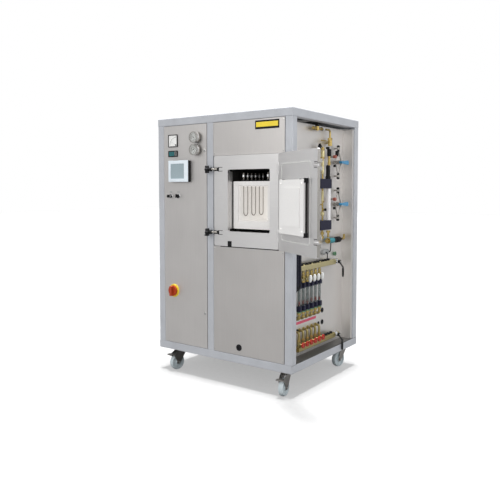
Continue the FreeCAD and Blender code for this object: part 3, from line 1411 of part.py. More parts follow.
def make_vacuum():
    # Line from the vessel's back wall through the rear panel, ending in a small clamp flange
    z = cab_bottom + pump_z
    start = cab_front + vessel_depth + jacket_reach
    end = cab_back + pump_reach
    line = pipe(mouth_mid_x, start, z, pump_tube_r, pump_bore_r, end - start, Y)
    flange = pipe(mouth_mid_x, end - pump_flange_t, z, pump_flange_r, pump_bore_r, pump_flange_t, Y)
    weld = pipe(mouth_mid_x, start, z, pump_tube_r + 8.0, pump_bore_r, 8.0, Y)
    tee_y = start + 120.0
    down = pipe(mouth_mid_x, tee_y, cab_bottom + tube + pump_h + 30.0, pump_tube_r * 0.8, pump_bore_r * 0.8,
                z - (cab_bottom + tube + pump_h + 30.0), Z)
    line = joined([line.fuse(down).cut(rod(mouth_mid_x, start - 1.0, z, pump_bore_r, end - start + 2.0, Y)),
                   flange, weld])
    write("vacuum_line", [line])
    # Rotary vane pump on the floor: finned motor, pump block, inlet stub
    floor_z = cab_bottom + tube - sheet
    x = mouth_mid_x
    y0 = tee_y - 90.0
    base = rounded_block(x - pump_w / 2.0, x + pump_w / 2.0, y0, y0 + pump_len * 0.45, floor_z, floor_z + pump_h,
                         14.0, Y)
    motor_z = floor_z + pump_h * 0.55
    motor = rod(x, y0 + pump_len * 0.45, motor_z, pump_w * 0.4, pump_len * 0.55, Y)
    fins = []
    for k in range(10):
        angle = 36.0 * k
        fin = block(x - 1.5, x + 1.5, y0 + pump_len * 0.5, y0 + pump_len * 0.95, motor_z + pump_w * 0.38,
                    motor_z + pump_w * 0.44)
        fins.append(turned(fin, x, 0.0, motor_z, Y, angle))
    foot = block(x - pump_w * 0.4, x + pump_w * 0.4, y0 + pump_len * 0.6, y0 + pump_len * 0.9, floor_z,
                 motor_z)
    neck_z = floor_z + pump_h
    neck = rod(x, tee_y, neck_z - 1.0, pump_tube_r, cab_bottom + tube + pump_h + 30.0 - neck_z + 1.0, Z)
    write("vacuum_pump", [joined([base, motor, foot, neck] + fins)])


def make_rear_ports():
    solids = []
    for x, z in rear_ports():
        body = pipe(x, cab_back - 40.0, z, port_r + 2.5, port_r - 2.5, 40.0 + port_len - 8.0, Y)
        nut = hexagon(x, cab_back, z, port_hex, 10.0).cut(rod(x, cab_back - 1.0, z, port_r, 12.0, Y))
        back_nut = hexagon(x, cab_back - sheet - 10.0, z, port_hex, 10.0).cut(
            rod(x, cab_back - sheet - 11.0, z, port_r, 12.0, Y))
        solids.append(joined([body, nut, back_nut]))
    x = (cupboard_left + cupboard_right) / 2.0
    z = cab_bottom + water_port_z
    gland = rod(x, cab_back, z, gland_r + 4.0, 10.0, Y)
    gland = gland.fuse(cone(x, cab_back + 10.0, z, gland_r, gland_r * 0.72, 24.0, Y))
    gland = gland.fuse(rod(x, cab_back - 16.0, z, gland_r - 2.0, 16.0, Y))
    gland = gland.fuse(rod(x, cab_back - sheet - 6.0, z, gland_r + 4.0, 6.0, Y))
    gland = gland.cut(rod(x, cab_back - 20.0, z, gland_r * 0.45, 60.0, Y))
    solids.append(gland.removeSplitter())
    write("rear_ports", solids)


def hexagon(x, y, z, radius, length):
    corners = []
    for i in range(6):
        angle = math.radians(60.0 * i)
        corners.append(Vector(x + radius * math.cos(angle), y, z + radius * math.sin(angle)))
    return Part.Face(Part.makePolygon(corners + [corners[0]])).extrude(Y * length)


def main():
    os.makedirs("parts", exist_ok=True)
    make_frame()
    make_fittings()
    make_covers()
    make_front_panels()
    make_vessel()
    make_heating_chamber()
    make_furnace_door()
    make_clamps()
    make_castors()
    make_bay_panel()
    make_water()
    make_gas()
    make_control_door()
    make_control_gear()
    make_vacuum()
    make_rear_ports()


main()
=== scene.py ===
import bmesh
import bpy
import json
import math
from mathutils import Matrix, Vector


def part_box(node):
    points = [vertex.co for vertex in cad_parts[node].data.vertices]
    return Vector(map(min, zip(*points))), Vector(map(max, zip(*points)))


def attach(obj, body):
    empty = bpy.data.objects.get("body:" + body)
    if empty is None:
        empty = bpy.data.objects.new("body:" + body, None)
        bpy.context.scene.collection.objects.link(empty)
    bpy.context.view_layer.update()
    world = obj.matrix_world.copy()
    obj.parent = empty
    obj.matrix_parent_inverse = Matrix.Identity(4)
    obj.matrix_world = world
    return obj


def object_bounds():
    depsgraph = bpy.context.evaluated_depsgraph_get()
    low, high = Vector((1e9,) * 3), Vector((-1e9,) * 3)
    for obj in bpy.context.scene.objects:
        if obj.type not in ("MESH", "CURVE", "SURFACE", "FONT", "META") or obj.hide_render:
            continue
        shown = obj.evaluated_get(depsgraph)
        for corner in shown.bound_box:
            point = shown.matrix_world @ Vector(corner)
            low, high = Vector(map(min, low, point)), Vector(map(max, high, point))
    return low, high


# A vacuum furnace in a square-tube cabinet: brushed steel panels, open vessel door, service bay of brass
# fittings. All places are counted from the cabinet's near right-hand bottom corner, in millimetres: x to the
# right, y to the back and z up. Pieces on the furnace door are drawn closed, then swung to the open door.

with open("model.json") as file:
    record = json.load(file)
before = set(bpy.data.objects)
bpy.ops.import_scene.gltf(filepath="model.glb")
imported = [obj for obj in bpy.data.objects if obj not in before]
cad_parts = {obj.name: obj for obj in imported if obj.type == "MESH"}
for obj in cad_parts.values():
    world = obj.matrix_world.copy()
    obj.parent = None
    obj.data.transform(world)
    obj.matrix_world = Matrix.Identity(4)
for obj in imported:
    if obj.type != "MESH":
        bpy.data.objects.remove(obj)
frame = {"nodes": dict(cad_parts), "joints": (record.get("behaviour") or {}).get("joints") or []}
nodes = frame["nodes"]
joints = {j["name"]: j for j in frame["joints"]}
low_first, high_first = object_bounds()

ring_low, ring_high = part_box("frame_base_ring")
CORNER = Vector((ring_high.x, ring_low.y, ring_low.z))
MM = 0.001


def at(x, y, z):
    return CORNER + Vector((x, y, z)) * MM


# Places that several pieces share

LEFT = (-1, 0, 0)
RIGHT = (1, 0, 0)
FRONT = (0, -1, 0)
BACK = (0, 1, 0)
UP = (0, 0, 1)

# Cabinet
TUBE = 60
CAB_W = 1250
CAB_D = 1010
CAB_H = 1825
CASTORS = ("front_right", "front_left", "back_right", "back_left")

# Vessel with its front plate, its mouth and the two clamps
PLATE_BOTTOM = 857
PLATE_TOP = PLATE_BOTTOM + 660
PLATE_MID_Z = (PLATE_BOTTOM + PLATE_TOP) // 2
PLATE_FRONT = -12
VESSEL_DEPTH = 470
MOUTH_LEFT = -543
MOUTH_RIGHT = -177
MOUTH_BOTTOM = 966
MOUTH_TOP = 1415
LEVELS = ("lower", "upper")
CLAMP_X = -638
CLAMP_Y = -2
CLAMP_Z = (PLATE_BOTTOM + 98, PLATE_TOP - 98)

# Leaf of the furnace door, closed
HINGE_X = -96
LEAF_END = HINGE_X - 15 - 545
LEAF_OUTER = -31.5
LEAF_INNER = -13.5

# Cupboard door with its main switch and two gauges
DOOR_LEFT = -1187.5
MAIN_X = DOOR_LEFT + 98
MAIN_Z = 476
GAUGE_X = DOOR_LEFT + 342
GAUGE_Z = (1570, 1662)

# Service bay: face of its back panel, water circuits with their two elbows, valve stations of the gas side
BAY_X = -93
CIRCUITS = [190 + 59 * i for i in range(6)]
OUTLET_Z = 340
INLET_Z = 248
STATION_Y = 778
STATIONS = (1484, 1156)


# Helpers for the shaders' nodes

def new_material(name):
    mat = bpy.data.materials.new(name)
    mat.use_nodes = True
    tree = mat.node_tree
    tree.nodes.clear()
    out = tree.nodes.new("ShaderNodeOutputMaterial")
    bsdf = tree.nodes.new("ShaderNodeBsdfPrincipled")
    tree.links.new(bsdf.outputs["BSDF"], out.inputs["Surface"])
    return mat, tree, bsdf


def object_coords(tree, scale):
    coord = tree.nodes.new("ShaderNodeTexCoord")
    mapping = tree.nodes.new("ShaderNodeMapping")
    mapping.inputs["Scale"].default_value = scale
    tree.links.new(coord.outputs["Object"], mapping.inputs["Vector"])
    return mapping.outputs["Vector"]


def noise(tree, scale, frequency, detail=3.0, roughness=0.5):
    n = tree.nodes.new("ShaderNodeTexNoise")
    n.inputs["Scale"].default_value = frequency
    n.inputs["Detail"].default_value = detail
    n.inputs["Roughness"].default_value = roughness
    tree.links.new(object_coords(tree, scale), n.inputs["Vector"])
    return n.outputs["Fac"]


def ramp(tree, source, stops):
    r = tree.nodes.new("ShaderNodeValToRGB")
    r.color_ramp.elements[0].position = stops[0][0]
    r.color_ramp.elements[0].color = (*stops[0][1], 1.0)
    r.color_ramp.elements[1].position = stops[-1][0]
    r.color_ramp.elements[1].color = (*stops[-1][1], 1.0)
    for position, color in stops[1:-1]:
        e = r.color_ramp.elements.new(position)
        e.color = (*color, 1.0)
    tree.links.new(source, r.inputs["Fac"])
    return r.outputs["Color"]


def span(tree, source, low, high):
    m = tree.nodes.new("ShaderNodeMapRange")
    m.inputs["To Min"].default_value = low
    m.inputs["To Max"].default_value = high
    tree.links.new(source, m.inputs["Value"])
    return m.outputs["Result"]


def bump(tree, bsdf, height, distance, strength=1.0):
    b = tree.nodes.new("ShaderNodeBump")
    b.inputs["Strength"].default_value = strength
    b.inputs["Distance"].default_value = distance
    tree.links.new(height, b.inputs["Height"])
    tree.links.new(b.outputs["Normal"], bsdf.inputs["Normal"])


def seen_by_camera(tree, others, camera_sees, out):
    # One shader for what the camera sees itself, another for all that lights and mirrors see
    path = tree.nodes.new("ShaderNodeLightPath")
    choose = tree.nodes.new("ShaderNodeMixShader")
    tree.links.new(path.outputs["Is Camera Ray"], choose.inputs["Fac"])
    tree.links.new(others.outputs[0], choose.inputs[1])
    tree.links.new(camera_sees.outputs[0], choose.inputs[2])
    tree.links.new(choose.outputs[0], out.inputs["Surface"])


def shade(color, by):
    return tuple(max(0.0, min(1.0, c * by)) for c in color)


def painted(name, color, roughness=0.42, grain=900.0, depth=0.00012, coat=0.15, metallic=0.0):
    # Powder coat or moulded skin: fine orange peel, faint cloudiness
    mat, tree, bsdf = new_material(name)
    cloud = noise(tree, (1, 1, 1), 9.0, 4.0)
    tree.links.new(ramp(tree, cloud, [(0.3, shade(color, 0.94)), (0.7, shade(color, 1.05))]),
                   bsdf.inputs["Base Color"])
    tree.links.new(span(tree, noise(tree, (1, 1, 1), 40.0), roughness - 0.06, roughness + 0.08),
                   bsdf.inputs["Roughness"])
    bsdf.inputs["Metallic"].default_value = metallic
    bsdf.inputs["Coat Weight"].default_value = coat
    bsdf.inputs["Coat Roughness"].default_value = 0.25
    bump(tree, bsdf, noise(tree, (1, 1, 1), grain, 2.0), depth)
    return mat


def brushed(name, color, stretch, roughness):
    # Ground stainless sheet: fine long scratches along one way and a few cloudy patches
    contrast = 0.06
    mat, tree, bsdf = new_material(name)
    lines = noise(tree, stretch, 4.0, 6.0, 0.6)
    cloud = noise(tree, (1, 1, 1), 3.0, 3.0)
    mix = tree.nodes.new("ShaderNodeMath")
    mix.operation = "MULTIPLY_ADD"
    mix.inputs[1].default_value = 0.55
    tree.links.new(lines, mix.inputs[0])
    half = tree.nodes.new("ShaderNodeMath")
    half.operation = "MULTIPLY"
    half.inputs[1].default_value = 0.45
    tree.links.new(cloud, half.inputs[0])
    tree.links.new(half.outputs[0], mix.inputs[2])
    stops = [(0.3, shade(color, 1 - contrast)), (0.7, shade(color, 1 + contrast))]
    tree.links.new(ramp(tree, mix.outputs[0], stops), bsdf.inputs["Base Color"])
    tree.links.new(span(tree, lines, roughness - 0.08, roughness + 0.1), bsdf.inputs["Roughness"])
    bsdf.inputs["Metallic"].default_value = 0.9
    bump(tree, bsdf, lines, 0.00006, 0.5)
    return mat


def plated(name, color, roughness, metallic=1.0):
    # Turned or plated metal with faint smears
    mat, tree, bsdf = new_material(name)
    smear = noise(tree, (1, 1, 1), 120.0, 4.0)
    tree.links.new(ramp(tree, smear, [(0.25, shade(color, 0.85)), (0.75, shade(color, 1.08))]),
                   bsdf.inputs["Base Color"])
    tree.links.new(span(tree, smear, roughness - 0.06, roughness + 0.12), bsdf.inputs["Roughness"])
    bsdf.inputs["Metallic"].default_value = metallic
    bump(tree, bsdf, noise(tree, (1, 1, 1), 500.0, 2.0), 0.00004)
    return mat


def fibre(name, color, lit=0.0):
    # Pressed ceramic-fibre board: chalky, with short flecks and pits. Lit is a painted glow that stands in
    # for light bounced in the chamber
    mat, tree, bsdf = new_material(name)
    fleck = noise(tree, (1, 1, 1), 160.0, 6.0, 0.7)
    tree.links.new(ramp(tree, fleck, [(0.2, shade(color, 0.93)), (0.5, color), (0.8, shade(color, 1.03))]),
                   bsdf.inputs["Base Color"])
    bsdf.inputs["Roughness"].default_value = 0.95
    bsdf.inputs["Specular IOR Level"].default_value = 0.15
    bsdf.inputs["Emission Color"].default_value = (*color, 1)
    bsdf.inputs["Emission Strength"].default_value = lit
    bump(tree, bsdf, fleck, 0.0005, 0.6)
    return mat


def clear(name, color, roughness=0.05):
    # Clear tube or window with faint drawn lines
    mat, tree, bsdf = new_material(name)
    streak = noise(tree, (300, 300, 8), 1.0, 2.0)
    tree.links.new(ramp(tree, streak, [(0.3, shade(color, 0.94)), (0.7, color)]), bsdf.inputs["Base Color"])
    tree.links.new(span(tree, streak, roughness, roughness + 0.06), bsdf.inputs["Roughness"])
    bsdf.inputs["Transmission Weight"].default_value = 0.92
    bsdf.inputs["IOR"].default_value = 1.2
    return mat


def glow(name, color, strength):
    # Lit display, or a dial with painted glow, with a soft grain
    mat, tree, bsdf = new_material(name)
    grain = noise(tree, (1, 1, 1), 700.0, 1.0)
    tint = ramp(tree, grain, [(0.3, shade(color, 0.92)), (0.7, shade(color, 1.05))])
    tree.links.new(tint, bsdf.inputs["Base Color"])
    tree.links.new(tint, bsdf.inputs["Emission Color"])
    bsdf.inputs["Emission Strength"].default_value = strength
    bsdf.inputs["Roughness"].default_value = 0.25
    return mat


FRAME_PAINT = painted("frame_paint", (0.447, 0.462, 0.492), 0.45)
PANEL_UP = brushed("panel_steel_upright", (0.58, 0.56, 0.545), (90, 90, 1.2), 0.42)
PANEL_DOOR = brushed("panel_steel_door", (0.64, 0.62, 0.605), (90, 90, 1.2), 0.42)
# The panels' steel made lighter: painted light on the service bay's back panel
PANEL_BAY_PAINTED_LIGHT = brushed("panel_steel_bay_painted_light", (0.76, 0.737, 0.715), (90, 90, 1.2), 0.42)
PANEL_FLAT = brushed("panel_steel_flat", (0.58, 0.56, 0.545), (1.2, 90, 90), 0.42)
DOOR_STEEL = brushed("ground_steel", (0.71, 0.70, 0.695), (3, 3, 160), 0.4)
# Near black: painted shade in the vessel behind its mouth and on the plug's back
VESSEL_PAINTED_SHADE = painted("vessel_painted_shade", (0.018, 0.017, 0.016), 0.6, 300.0, 0.0002, 0.0)
FIBRE = fibre("fibre_board", (0.82, 0.80, 0.78))
FIBRE_INSIDE_PAINTED_GLOW = fibre("fibre_chamber_painted_glow", (0.78, 0.763, 0.74), 0.26)
FIBRE_PLUG = fibre("fibre_plug", (0.80, 0.79, 0.775))
# Darker plug fibre: painted shade on the plug's step and board edge
FIBRE_STEP_PAINTED_SHADE = fibre("fibre_plug_painted_shade", (0.60, 0.592, 0.58))
# The door's ground steel made darker: painted shade on the leaf's free edge
DOOR_EDGE_PAINTED_SHADE = brushed("door_edge_painted_shade", (0.40, 0.385, 0.36), (3, 3, 160), 0.4)
ELEMENT = painted("element_metal", (0.24, 0.215, 0.19), 0.55, 500.0, 0.0001, 0.0, 0.4)
ALUMINIUM = plated("aluminium_bar", (0.72, 0.72, 0.72), 0.35)
CHROME = plated("chrome", (0.78, 0.79, 0.80), 0.12)
ZINC = plated("zinc_plate", (0.56, 0.56, 0.55), 0.44)
CASTOR_STEEL = plated("castor_steel", (0.33, 0.315, 0.30), 0.36)
BRASS = plated("brass", (0.46, 0.34, 0.12), 0.3)
COPPER = plated("copper_winding", (0.62, 0.30, 0.17), 0.35)
# Lighter brass: painted highlight on the water supply bar
BRASS_LIGHTER_WITH_HIGHLIGHT = plated("brass_lighter_with_painted_highlight", (0.62, 0.55, 0.31), 0.4)
NICKEL = plated("nickel", (0.42, 0.40, 0.37), 0.34)
BRASS_PALE = plated("brass_pale", (0.41, 0.34, 0.15), 0.38)
BLACK = painted("black_plastic", (0.008, 0.008, 0.009), 0.5, 700.0, 0.0001, 0.0)
BLACK_STEEL = plated("black_steel", (0.045, 0.045, 0.047), 0.38, 0.8)
RUBBER = painted("black_rubber", (0.014, 0.014, 0.016), 0.65, 400.0, 0.0002, 0.0)
SEAL = painted("pale_seal", (0.60, 0.60, 0.58), 0.5, 400.0)
NAVY = painted("navy_plastic", (0.010, 0.011, 0.032), 0.4, 800.0, 0.00005, 0.1)
STRIP_RED = painted("strip_red", (0.62, 0.07, 0.14), 0.4, 600.0)
WHITE = painted("white_plastic", (0.80, 0.81, 0.80), 0.4)
PALE_BLUE = painted("pale_bezel", (0.76, 0.83, 0.88), 0.35)
CAP_RED = painted("cap_red", (0.36, 0.09, 0.06), 0.45)
# Near-black steel: painted shade on the floor of the service bay
BAY_FLOOR_PAINTED_SHADE = brushed("bay_floor_painted_shade", (0.15, 0.147, 0.143), (90, 90, 1.2), 0.4)
SWITCH_RED = painted("switch_red", (0.40, 0.04, 0.004), 0.5, 800.0, 0.00005, 0.0)
RED = painted("red_plastic", (0.44, 0.03, 0.015), 0.3, 800.0, 0.00005, 0.3)
YELLOW = painted("yellow_plastic", (0.82, 0.62, 0.03), 0.35)
BLUE = painted("blue_plastic", (0.06, 0.27, 0.48), 0.35, 800.0, 0.00005, 0.2)
TEAL = painted("teal_plastic", (0.01, 0.22, 0.26), 0.35)
GREEN = painted("green_plastic", (0.14, 0.30, 0.17), 0.4)
WHEEL_GREY = painted("wheel_grey", (0.56, 0.63, 0.655), 0.55, 500.0)
MACHINE = painted("machine_paint", (0.25, 0.28, 0.30), 0.5)
GEAR_GREY = painted("gear_grey", (0.42, 0.43, 0.43), 0.5)
CLEAR = clear("clear_tube", (0.90, 0.92, 0.93))
SMOKED = clear("smoked_tube", (0.62, 0.66, 0.66), 0.15)
MILK = painted("milky_tube", (0.92, 0.91, 0.92), 0.2, 800.0, 0.00003, 0.5)
SCREEN = glow("screen", (0.30, 0.37, 0.40), 0.12)
READOUT = glow("readout", (0.02, 0.13, 0.14), 0.06)
DIAL = painted("dial_face", (0.82, 0.82, 0.80), 0.5)
# Glow on the gauge dials under their panes: painted light
DIAL_PAINTED_GLOW = glow("dial_under_glass_painted_glow", (0.82, 0.82, 0.80), 0.5)

# The darkest materials mirror less
for mat in (BLACK, NAVY, RUBBER, VESSEL_PAINTED_SHADE):
    shader = next(n for n in mat.node_tree.nodes if n.type == "BSDF_PRINCIPLED")
    shader.inputs["Specular IOR Level"].default_value = 0.18


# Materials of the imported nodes. A rule is a material and a test of a face's middle, in millimetres, and its
# normal.

def dress(name, base, rules=()):
    mesh = nodes[name].data
    mesh.materials.clear()
    for mat in [base] + [mat for mat, _ in rules]:
        mesh.materials.append(mat)
    for poly in mesh.polygons:
        c = (poly.center - CORNER) / MM
        hits = (i for i, (_, test) in enumerate(rules, 1) if test(c, poly.normal))
        poly.material_index = next(hits, 0)


def smooth(name, degrees=30.0):
    mesh = nodes[name].data
    mesh.shade_smooth()
    mesh.set_sharp_from_angle(angle=math.radians(degrees))


def inside(c, low, high):
    # True for a point between two corners of a box
    return all(a < value < b for a, value, b in zip(low, c, high))


def round_about(c, x, z, radius):
    # True for a point near an axis that runs from front to back
    return math.hypot(c.x - x, c.z - z) < radius


def on_clamp_pin(c, radius):
    return math.hypot(c.x - CLAMP_X, c.y - CLAMP_Y) < radius


for n in nodes:
    smooth(n)

HINGE = (Vector(joints["furnace_door_hinge"]["pos_m"]) - CORNER) / MM
DOOR_OPEN = math.radians(-joints["furnace_door_hinge"]["range_deg"][0])


def shut(c):
    # A point on the open furnace door carried back to the closed door, in millimetres
    return HINGE + Matrix.Rotation(-DOOR_OPEN, 3, "Z") @ (c - HINGE)


# Cabinet: frame, sheet metal and castors. The base ring's top faces in the service bay get the painted shade
# of the bay's floor.
for n in ("frame_top_ring", "frame_posts"):
    dress(n, FRAME_PAINT)
dress("frame_base_ring", FRAME_PAINT, [
    (BAY_FLOOR_PAINTED_SHADE, lambda c, n: n.z > 0.35 and c.z > TUBE - 10 and c.x > -TUBE - 2)])
dress("brackets_and_pins", ZINC)
dress("top_panel", PANEL_FLAT)
dress("side_and_floor_panels", PANEL_UP, [(PANEL_FLAT, lambda c, n: c.z < TUBE + 2 and c.x > 20 - CAB_W)])
dress("rear_panels", PANEL_UP)
dress("control_door", PANEL_DOOR)
GROMMET_X = -452
GROMMET_Z = 118
SHADED_SURROUND_DEPTH = 7.5
dress("front_panels", PANEL_UP, [
    (RUBBER, lambda c, n: round_about(c, GROMMET_X, GROMMET_Z, 25)),
    # Black steel on the recessed surround round the vessel's front plate: painted shade in the recess
    (BLACK_STEEL, lambda c, n: c.y > SHADED_SURROUND_DEPTH and PLATE_BOTTOM - 2 < c.z < PLATE_TOP + 2)])
dress("castor_plates", ZINC)
for corner in CASTORS:
    dress("castor_fork_" + corner, CASTOR_STEEL)
    dress("castor_wheel_" + corner, WHEEL_GREY)
    if corner.startswith("front"):
        dress("castor_brake_" + corner, CASTOR_STEEL)

# Vessel: painted shade behind its mouth, with a black door switch under it and painted shade on the pins in
# its clamp slots
SWITCH_LOW = (-547, -100, PLATE_BOTTOM - 1)
SWITCH_HIGH = (-507, 9, PLATE_BOTTOM + 40)
# Near black behind the mouth: painted shade in the vessel's cavity
PAINTED_SHADE_LOW = (MOUTH_LEFT - 3, 9, MOUTH_BOTTOM - 3)
PAINTED_SHADE_HIGH = (MOUTH_RIGHT + 3, VESSEL_DEPTH + 4, MOUTH_TOP + 5)
CHAMBER_LOW = (-485, 46, 1042)
CHAMBER_HIGH = (-235, 376, 1295)
dress("vessel_front_plate", DOOR_STEEL)
dress("furnace_vessel", DOOR_STEEL, [
    (BLACK, lambda c, n: inside(c, SWITCH_LOW, SWITCH_HIGH)),
    (VESSEL_PAINTED_SHADE, lambda c, n: inside(c, PAINTED_SHADE_LOW, PAINTED_SHADE_HIGH)),
    # Black steel on the clamp pins: painted shade in the clamp slots
    (BLACK_STEEL, lambda c, n: on_clamp_pin(c, 7))])
# The chamber's walls glow: painted light for the light bounced inside
dress("insulation_box", FIBRE, [(FIBRE_INSIDE_PAINTED_GLOW, lambda c, n: inside(c, CHAMBER_LOW, CHAMBER_HIGH))])
dress("heating_elements", ELEMENT)
dress("element_terminals", ALUMINIUM)
dress("thermocouple", ZINC)
dress("vacuum_line", DOOR_STEEL)


# Furnace door: painted shade on the plug's back, on the step round its core and on its board's edge on the
# clamp side

def on_plug_painted_shade(p, n):
    return 16.6 < p.y < 19.4 or (p.y < 16.4 and abs(n.z) < 0.3 and p.x < -535)


# The leaf's free edge is darker: painted shade
dress("furnace_door", DOOR_STEEL, [(DOOR_EDGE_PAINTED_SHADE, lambda c, n: shut(c).x < LEAF_END + 0.5)])
dress("door_seal", SEAL)
dress("door_plug", FIBRE_PLUG, [
    (VESSEL_PAINTED_SHADE, lambda c, n: shut(c).y < 4.4),
    (FIBRE_STEP_PAINTED_SHADE, lambda c, n: on_plug_painted_shade(shut(c), n))])
for level in LEVELS:
    # Black on the swing bolt's eye round the pin: painted shade in the clamp slot
    dress("swing_bolt_" + level, NICKEL, [(BLACK, lambda c, n: on_clamp_pin(c, 13.5))])
    dress("clamp_knob_" + level, BLACK)

# Service bay, water side. A grommet is its place along the bay, its height and its radius.
GROMMETS = ((219.5, OUTLET_Z, 15), (219.5, INLET_Z, 15), (593, OUTLET_Z, 20), (593, INLET_Z, 20),
            (535, INLET_Z, 15))
HIGHLIT_BAR_FROM = 680
# The bay's back panel in lighter steel: painted light
dress("service_bay_panel", PANEL_BAY_PAINTED_LIGHT, [
    (RUBBER, lambda c, n: any(math.hypot(c.y - y, c.z - z) < r for y, z, r in GROMMETS))])
# The supply bar in lighter brass: painted highlight
dress("water_manifolds", BRASS_PALE, [(BRASS_LIGHTER_WITH_HIGHLIGHT, lambda c, n: c.z > HIGHLIT_BAR_FROM)])
dress("flow_meter_tubes", SMOKED)
dress("flow_meter_blocks", NAVY)
dress("cooling_hoses", RUBBER)
dress("rear_ports", BRASS)
for i in range(len(CIRCUITS)):
    dress("flow_handwheel_%d" % (i + 1), RED)
for n in ("supply", "return"):
    dress("shutoff_lever_" + n, BLACK)

# Service bay, gas side: caps of the stations, the two glands below, and the transmitter in three colours
CAP_Y = STATION_Y - 76
CAP_ABOVE = 40
METER_TUBE_FROM = 1045
METER_TUBE_TO = 1278
TRANSMITTER_FROM = 850
TRANSMITTER_TO = 905


def on_cap(c):
    return (abs(c.y - CAP_Y) < 14 and c.x > -61
            and min(abs(c.z - z - CAP_ABOVE) for z in STATIONS) < 14)


def on_transmitter(c, front, back):
    return TRANSMITTER_FROM < c.z < TRANSMITTER_TO and front < c.y < back


dress("gas_pipework", BRASS)
dress("gas_flow_meter", NAVY, [(MILK, lambda c, n: METER_TUBE_FROM < c.z < METER_TUBE_TO)])
dress("gas_valve_stations", NICKEL, [
    (CAP_RED, lambda c, n: on_cap(c)),
    (GEAR_GREY, lambda c, n: 765 < c.z < 812 and 565 < c.y < 665),
    (GREEN, lambda c, n: 740 < c.z < 785 and 755 < c.y < 805),
    (BRASS, lambda c, n: on_transmitter(c, 585, 620.5)),
    (TEAL, lambda c, n: on_transmitter(c, 620.5, 692)),
    (BLACK, lambda c, n: on_transmitter(c, 692, 830))])
for i in (1, 2):
    dress("gas_lever_%d" % i, BLUE)

# Cupboard and lower compartment: transformer with copper windings, mounting plate, instruments of the door
TRANSFORMER_BACK = 700
WINDING_FROM = 103
WINDING_TO = 243
PLATE_FRONT_Y = 915
dress("vacuum_pump", MACHINE)
dress("control_gear", GEAR_GREY, [
    (COPPER, lambda c, n: c.y < TRANSFORMER_BACK and WINDING_FROM < c.z < WINDING_TO),
    (MACHINE, lambda c, n: c.y < TRANSFORMER_BACK),
    (ZINC, lambda c, n: c.y > PLATE_FRONT_Y)])
dress("door_instruments", BLACK, [
    (YELLOW, lambda c, n: round_about(c, MAIN_X, MAIN_Z, 95)),
    (NICKEL, lambda c, n: any(round_about(c, GAUGE_X, z, 45) for z in GAUGE_Z))])
dress("touch_panel", BLACK)
dress("main_switch_knob", SWITCH_RED)
KEY_BOW_Y = -21.4
dress("key_switch", ZINC, [(BLACK, lambda c, n: c.y < KEY_BOW_Y)])
dress("selector_switch", BLACK)


# Builder of the small pieces. One batch is one mesh, in one material, on one body.

DOOR_PIVOT = Vector(joints["furnace_door_hinge"]["pos_m"])


def swing(point):
    # A point drawn with the furnace door closed, in metres, carried to the open door
    return DOOR_PIVOT + Matrix.Rotation(DOOR_OPEN, 3, "Z") @ (point - DOOR_PIVOT)


def around(degrees):
    # One step to the right and up from a dial's middle, for an angle counted from the right over the top
    a = math.radians(degrees)
    return math.cos(a), math.sin(a)


